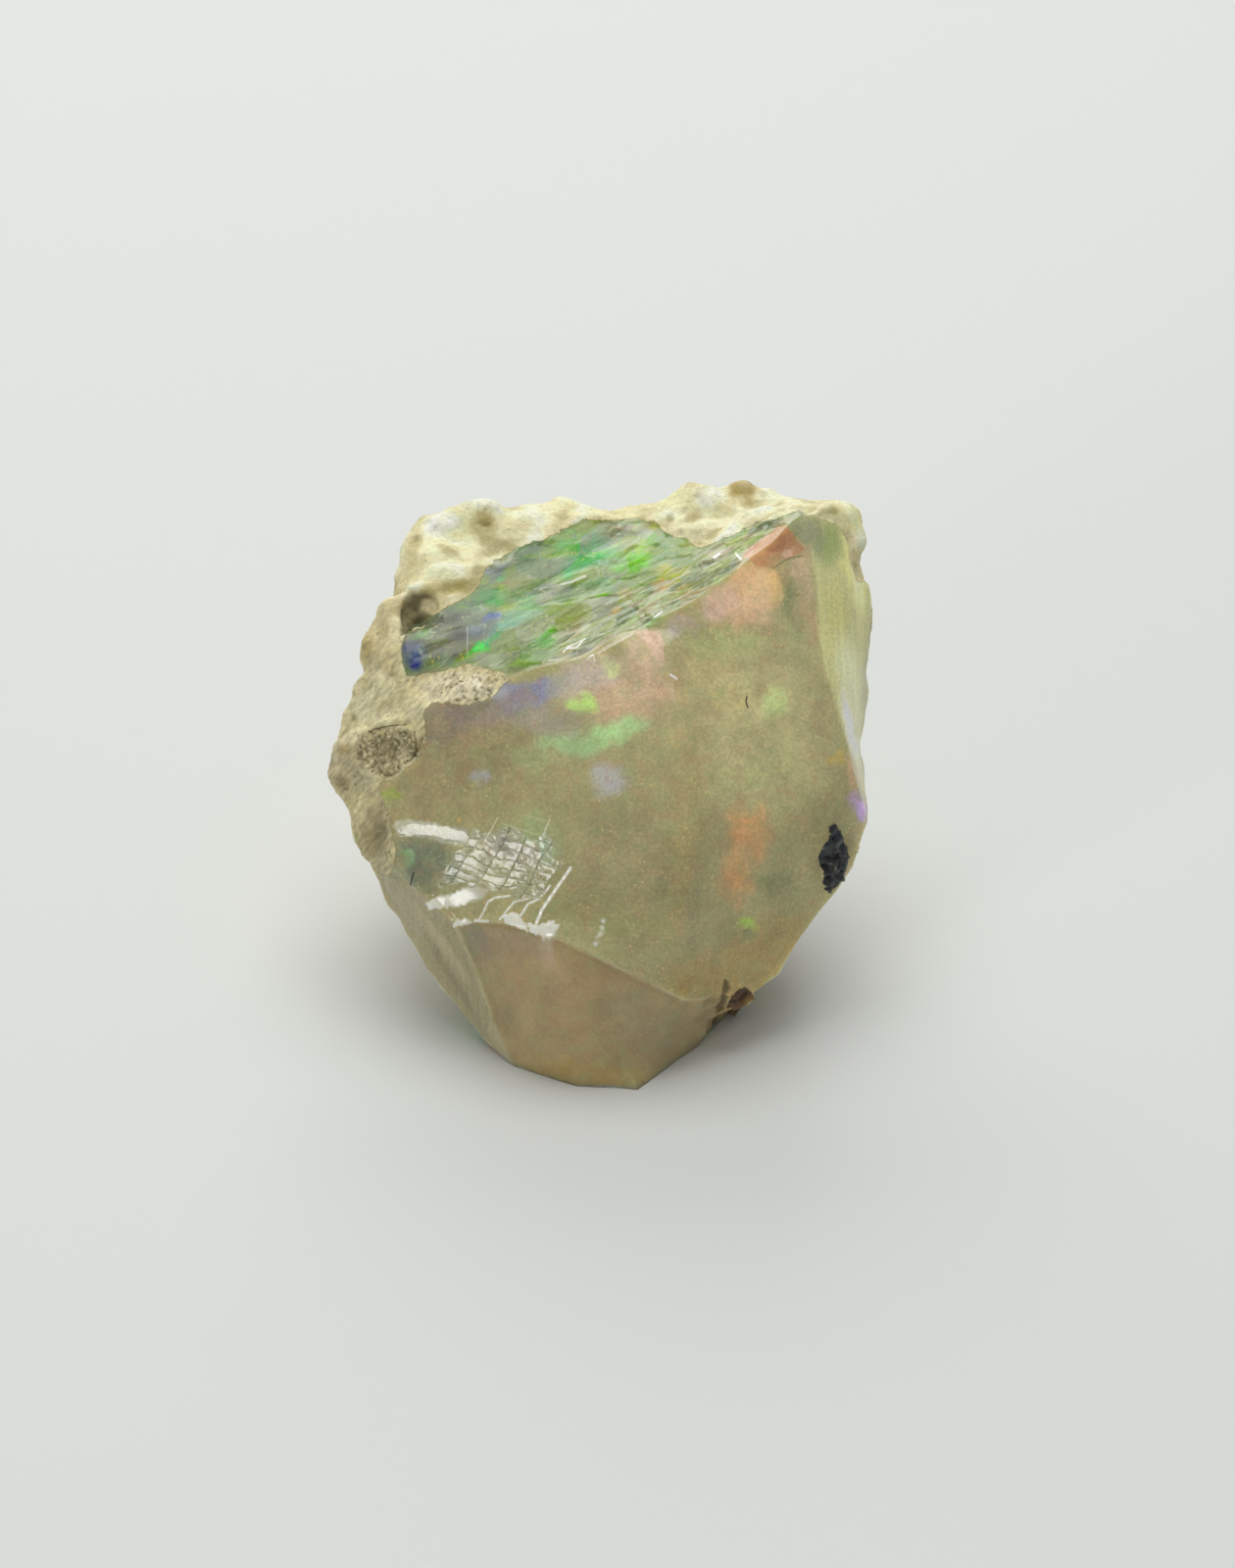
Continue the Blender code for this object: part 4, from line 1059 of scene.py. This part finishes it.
top_face = stored("top face")["Fac"]
opal = blend_colour(ramp(hue, 0.52, 0.66, 0.0, 0.20), opal, rgba("#A6BE84"))
warm = maths("MULTIPLY", ramp(hue, 0.46, 0.34, 0.0, 0.24), blend_value(top_face, 1.0, 0.2))
opal = blend_colour(warm, opal, rgba("#C49878"))
flaw = hills_node(1.3, 5.0, 0.65)
opal = lit(1.0, opal, ramp(flaw, 0.32, 0.68, 0.90, 1.09))
speck = node(tree, "TexVoronoi", {"Vector": place, "Scale": 1 / (SPECK_SPACING * MM)})["Distance"]
speck = maths("MULTIPLY", ramp(speck, 0.30, 0.14), ramp(hills_node(0.8), 0.48, 0.66, 0.0, 0.5))
speck = maths("MULTIPLY", speck, blend_value(smooth_toe, 1.0, 0.3))
opal = blend_colour(speck, opal, rgba("#F6E0A0"))

# The top face: flakes of colour that differ from one to the next, with pale edges
top_flakes = channels(flakes_node(HACKLE_TURN + 8, 1.1, 0.45)["Color"])
livened = node(tree, "HueSaturation", {
    "Hue": ramp(top_flakes[1], 0.0, 1.0, 0.48, 0.52), "Saturation": ramp(top_flakes[0], 0.0, 1.0, 1.0, 1.9),
    "Value": ramp(top_flakes[2], 0.0, 1.0, 0.82, 1.10), "Color": opal})[0]
opal = blend_colour(top_face, opal, livened)
top_threads = threads_node(HACKLE_TURN + 5, 0.9, 0.16, 4.0)
opal = lit(top_face, opal, ramp(top_threads, 0.35, 0.65, 0.86, 1.10))
flake_edge = flakes_node(HACKLE_TURN + 8, 1.7, 0.55, "DISTANCE_TO_EDGE")["Distance"]
flake_edge = maths("MULTIPLY", ramp(flake_edge, 0.03, 0.0), ramp(hills_node(0.7), 0.50, 0.62, 0.0, 0.45))
opal = blend_colour(maths("MULTIPLY", top_face, flake_edge), opal, rgba("#D0D6BC"))

# The hackles: slivers of silver, yellow green and dark olive
hackles = stored("hackly")["Fac"]
slivers = channels(flakes_node(HACKLE_TURN, 0.6, 0.12)["Color"])
fine_threads = threads_node(HACKLE_TURN, 0.7, 0.06)
SLIVERS = (("#707A50", ramp(slivers[0], 0.34, 0.20)), ("#C4C6A4", ramp(slivers[0], 0.70, 0.84)),
           ("#B4C474", ramp(slivers[1], 0.70, 0.82)), ("#BCA680", ramp(slivers[2], 0.76, 0.88)),
           ("#D8DABC", ramp(fine_threads, 0.58, 0.66)),
           ("#666E44", ramp(fine_threads, 0.42, 0.34)))
for hex_colour, share in SLIVERS:
    opal = blend_colour(maths("MULTIPLY", maths("MULTIPLY", hackles, share), 0.6), opal, rgba(hex_colour))

# The milky right face and flank: faint streaks along them
streaks = threads_node(88.0, 4.0, 0.14)
milky = stored("milky")["Fac"]
opal = blend_colour(milky, opal, lit(1.0, calm, ramp(streaks, 0.35, 0.65, 0.95, 1.05)))

# Pale edges where the front face ends at the toe and at the flank: a painted highlight along each edge
for reach, hex_colour in ((toe, "#C9BE98"), (stored("flank")["Fac"], "#B8AE8C")):
    edge = ramp(maths("ABSOLUTE", reach, 0.0), 0.07, 0.02)
    edge = maths("MULTIPLY", edge, ramp(hills_node(0.9), 0.40, 0.60, 0.15, 0.75))
    opal = blend_colour(edge, opal, rgba(hex_colour))

# Fine lines, in pixels: edges of flakes, cracks, painted highlights on a ledge and as glints along the crest, and
# painted shade along the pit's rim and side.
# The colour, how strongly it covers, half the width in mm and the path
LINES = {
    "painted highlight of the ledge": ("#ECECE0", 0.7, 0.06, [(572, 597), (584, 594), (597, 589)]),
    "rest of the ledge's painted highlight": ("#C9CDB8", 0.5, 0.04, [(545, 601), (572, 597)]),
    "hairline at the left end": ("#B9C4B0", 0.6, 0.04, [(477, 640), (477, 670)]),
    "line under the chip": ("#D0BC98", 0.6, 0.04, [(793, 600), (796, 625), (795, 650)]),
    "line on the front": ("#CDC398", 0.6, 0.04, [(708, 717), (735, 702), (757, 688)]),
    "outer arc": ("#D6C6A8", 0.6, 0.045, [(640, 651), (660, 665), (680, 703)]),
    "inner arc": ("#D2BFA0", 0.5, 0.04, [(648, 648), (668, 662), (680, 684)]),
    "edge of the chip": ("#86704E", 0.6, 0.05, [(788, 580), (804, 570), (818, 567)]),
    "dark arc low on the right": ("#5A4E34", 0.7, 0.05, [(784, 1007), (788, 1001), (792, 997)]),
    "glint of the crest": ("#FFFFFA", 0.9, 0.035, [(575, 666), (583, 658), (597, 652), (588, 661), (578, 663)]),
    "second glint of the crest": ("#FFFFFA", 0.85, 0.03, [(599, 673), (605, 668), (607, 675)]),
    "glint under the arc": ("#FFFFFA", 0.9, 0.055, [(684, 690), (690, 694)]),
    "glint of the hackles": ("#FFFFFA", 0.95, 0.07, [(729, 569), (734, 565)]),
    "glint by the chip": ("#FFFFFA", 0.9, 0.06, [(751, 565), (756, 571)]),
    "glint over the crest": ("#FFFFFA", 0.9, 0.05, [(668, 629), (675, 624)]),
    "low glint of the crest": ("#F4F4E4", 0.8, 0.03, [(560, 674), (574, 672)]),
    "painted shade under the pit's rim": ("#4A3F2A", 0.75, 0.032, [(377, 747), (390, 742), (414, 739)]),
    "painted shade on the pit's side": ("#5C4F34", 0.7, 0.04, [(423, 746), (423, 766), (412, 781)]),
    "pale collar of the pit": ("#D2C9A4", 0.7, 0.045, [(420, 737), (428, 752), (426, 768), (402, 790)]),
    "glassy edge of the collar": ("#DCD4B0", 0.6, 0.035, [(434, 752), (430, 767), (404, 792)]),
    "first pale crack": ("#EAE4C6", 0.85, 0.035, [(508, 834), (487, 873)]),
    "third pale crack": ("#EEEAD0", 0.9, 0.04, [(561, 836), (554, 852)]),
    "pale cross crack": ("#DAD3AE", 0.8, 0.035, [(511, 840), (549, 852)]),
    "upper cross crack": ("#D4CDA6", 0.7, 0.03, [(534, 832), (561, 838)]),
    "tick": ("#2E2A20", 0.95, 0.04, [(762, 711), (761, 716), (763, 722)]),
    "tick in the glass": ("#33352A", 0.95, 0.05, [(422, 891), (420, 897), (419, 903)]),
}


def line_node(path, half_width):
    """1 on a drawn line of the front and 0 beside it."""
    spots = [np.array((x - FRAME_MIDDLE_PX[0], FRAME_MIDDLE_PX[1] - y)) / PX_PER_MM for x, y in path]
    nearest = 10.0
    for start, end in zip(spots, spots[1:]):
        half_length = math.dist(start, end) / 2
        along = (end - start) / (2 * half_length)
        gaps = []
        for way, length in ((along, half_length), (np.array((-along[1], along[0])), 0.0)):
            placed = node(tree, "VectorMath", {0: front, 1: (*way, 0.0)}, operation="DOT_PRODUCT")["Value"]
            from_middle = maths("SUBTRACT", placed, way @ (start + end) / 2)
            gaps.append(maths("SUBTRACT", maths("ABSOLUTE", from_middle, 0.0), length))
        nearest = maths("MINIMUM", nearest, maths("MAXIMUM", *gaps))
    return ramp(nearest, half_width, 0.3 * half_width)


line_colour, line_cover = rgba("#FFFFFF"), 0.0
for hex_colour, strength, half_width, path in LINES.values():
    share = line_node(path, half_width)
    line_colour = blend_colour(maths("GREATER_THAN", share, 0.02), line_colour, rgba(hex_colour))
    line_cover = maths("MAXIMUM", line_cover, maths("MULTIPLY", share, strength))
line_cover = maths("MULTIPLY", line_cover, stored("on the front")["Fac"])

# Hair cracks of the crazed patch
cells = node(tree, "SeparateXYZ", {0: stored("cells")["Vector"]})
steep_gap = maths("MULTIPLY", maths("PINGPONG", cells[0], 0.5), CELL_WIDTH / PX_PER_MM)
cross_gap = maths("MULTIPLY", maths("PINGPONG", cells[1], 0.5), CELL_HEIGHT / PX_PER_MM)
cross_cracks = maths("MULTIPLY", ramp(cross_gap, 0.024, 0.006), ramp(hills_node(0.4), 0.42, 0.58, 0.1, 1.0))
cracks = maths("MAXIMUM", ramp(steep_gap, 0.026, 0.006), cross_cracks)
cracks = maths("MULTIPLY", stored("crazed")["Fac"], cracks)
glossy = stored("glossy")["Fac"]
# Painted highlight: the glossy patch, bevels and ribs are paled, the ribs and the lower bevel near white, over
# their reflection of the window; the hair cracks are painted dark
opal = blend_colour(maths("MULTIPLY", glossy, ramp(hills_node(0.10), 0.40, 0.60, 0.05, 0.5)), opal, rgba("#D6DAC6"))
opal = blend_colour(maths("MULTIPLY", stored("ribs")["Fac"], 0.85), opal, rgba("#FAF8EC"))
opal = blend_colour(maths("MULTIPLY", cracks, 0.5), opal, rgba("#5C5C44"))

# Rock: cream and tan, with darker grains and specks, and brown painted shade in its pits and hollows
rock_grain = hills_node(0.20, 4.0, 0.65)
rock = stored("rock colour")["Color"]
coarse = stored("coarse rock")["Fac"]
rock = lit(1.0, rock, ramp(rock_grain, 0.3, 0.7, 0.88, 1.10))
rock_stain = hills_node(1.2, 3.0, 0.5)
rock = blend_colour(ramp(rock_stain, 0.52, 0.70, 0.0, 0.45), rock, rgba("#B7A672"))
rock_pits = node(tree, "TexVoronoi", {"Vector": place, "Scale": 1 / (ROCK_PIT_SPACING * MM)})["Distance"]
rock_pits = maths("MULTIPLY", ramp(rock_pits, 0.30, 0.12), ramp(hills_node(1.0, 3.0), 0.46, 0.60))
near_rock = stored("near rock")["Fac"]
rock = blend_colour(maths("MULTIPLY", rock_pits, blend_value(near_rock, 0.15, 0.6)), rock, rgba("#7E7250"))
wrinkles = threads_node(-52, 0.46, 0.14, 4.0)
rock = lit(near_rock, rock, ramp(wrinkles, 0.34, 0.66, 0.81, 1.17))
rock = blend_colour(maths("MULTIPLY", coarse, ramp(rock_grain, 0.44, 0.34)), rock, rgba("#7E6F50"))
# Painted shade: brown in the pits and crumb gaps
rock = blend_colour(maths("MULTIPLY", stored("hollow")["Fac"], 0.85), rock, rgba("#564C34"))

colour = blend_colour(rock_share, opal, rock)
colour = blend_colour(line_cover, colour, line_colour)
# The crevice beside the toe painted dark brown: partly its brown rock, partly painted shade in the crevice
colour = blend_colour(maths("MULTIPLY", stored("crevice")["Fac"], 0.6), colour, rgba("#54482E"))
colour = blend_colour(brown_share, colour, rgba(BROWN))
colour = blend_colour(black_share, colour, rgba(BLACK))

roughness = ramp(grain, 0.3, 0.7, 0.12, 0.20)
roughness = blend_value(maths("MAXIMUM", smooth_toe, milky), roughness, 0.32)
roughness = blend_value(glossy, roughness, 0.13)
roughness = blend_value(rock_share, roughness, 0.88)
roughness = blend_value(maths("MAXIMUM", black_share, brown_share), roughness, 0.28)

opal_height = maths("MULTIPLY", grain, 0.0015)
thread_height = maths("MULTIPLY", maths("MULTIPLY", hackles, slivers[0]), 0.03)
top_height = maths("MULTIPLY", maths("MULTIPLY", top_face, top_threads), 0.015)
crack_height = maths("MULTIPLY", cracks, -0.02)
opal_height = maths("ADD", maths("ADD", opal_height, thread_height), maths("ADD", top_height, crack_height))
rock_height = maths("MULTIPLY", rock_grain, blend_value(coarse, 0.10, 0.14))
rock_height = maths("ADD", rock_height, maths("MULTIPLY", maths("MULTIPLY", wrinkles, near_rock), 0.06))
rock_height = maths("SUBTRACT", rock_height, maths("MULTIPLY", rock_pits, 0.03))
height = blend_value(rock_share, opal_height, rock_height)
bump = node(tree, "Bump", {"Strength": 1.0, "Distance": MM, "Height": height})["Normal"]

shader = node(tree, "BsdfPrincipled", {
    "Base Color": colour, "Roughness": roughness, "Normal": bump, "IOR": OPAL_IOR,
    "Subsurface Weight": blend_value(rock_share, 0.85, 0.15), "Subsurface Radius": (1.0, 0.8, 0.5),
    "Subsurface Scale": 0.0014})["BSDF"]
node(tree, "OutputMaterial", {"Surface": shader})
mesh.materials.append(opal_material)

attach(stone, "root")
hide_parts("opal")

# The table top, plain and pale, and soft light from above and behind
floor_mesh = bpy.data.meshes.new("table top")
HALF_TABLE = 1.5
corners = [(-HALF_TABLE, -HALF_TABLE, 0), (HALF_TABLE, -HALF_TABLE, 0),
           (HALF_TABLE, HALF_TABLE, 0), (-HALF_TABLE, HALF_TABLE, 0)]
floor_mesh.from_pydata(corners, [], [(0, 1, 2, 3)])
floor = bpy.data.objects.new("table_top", floor_mesh)
bpy.context.scene.collection.objects.link(floor)
paint = bpy.data.materials.new("pale matt table top")
paint.use_nodes = True
paint_shader = paint.node_tree.nodes["Principled BSDF"]
paint_shader.inputs["Base Color"].default_value = rgba("#DADCD8")
paint_shader.inputs["Roughness"].default_value = 0.6
floor_mesh.materials.append(paint)


def soft_light(name, place, target, size, power, colour="#FFFFFF"):
    """A rectangular light at a place in mm, turned to a target, with its size in mm."""
    data = bpy.data.lights.new(name, "AREA")
    data.shape = "RECTANGLE"
    data.size, data.size_y = (side * MM for side in size)
    data.energy = power
    data.color = linear(colour)
    light = bpy.data.objects.new(name, data)
    light.location = Vector(place) * MM
    light.rotation_euler = (Vector(target) - Vector(place)).to_track_quat("-Z", "Y").to_euler()
    bpy.context.scene.collection.objects.link(light)
    return light


soft_light("ceiling", (0, 120, 520), (0, 0, 8), (420, 420), 1.75)
soft_light("back window", (-80, 420, 260), (0, 0, 8), (400, 220), 0.7)
window = tuple(WINDOW_WAY * 340.0 + np.array((-5.0, -6.0, 6.0)))
soft_light("front window", window, (-5, -6, 6), (62, 62), 0.145)

world = bpy.data.worlds.new("room")
world.use_nodes = True
background = world.node_tree.nodes["Background"]
background.inputs["Color"].default_value = rgba("#E8EAEA")
background.inputs["Strength"].default_value = 0.38
bpy.context.scene.world = world
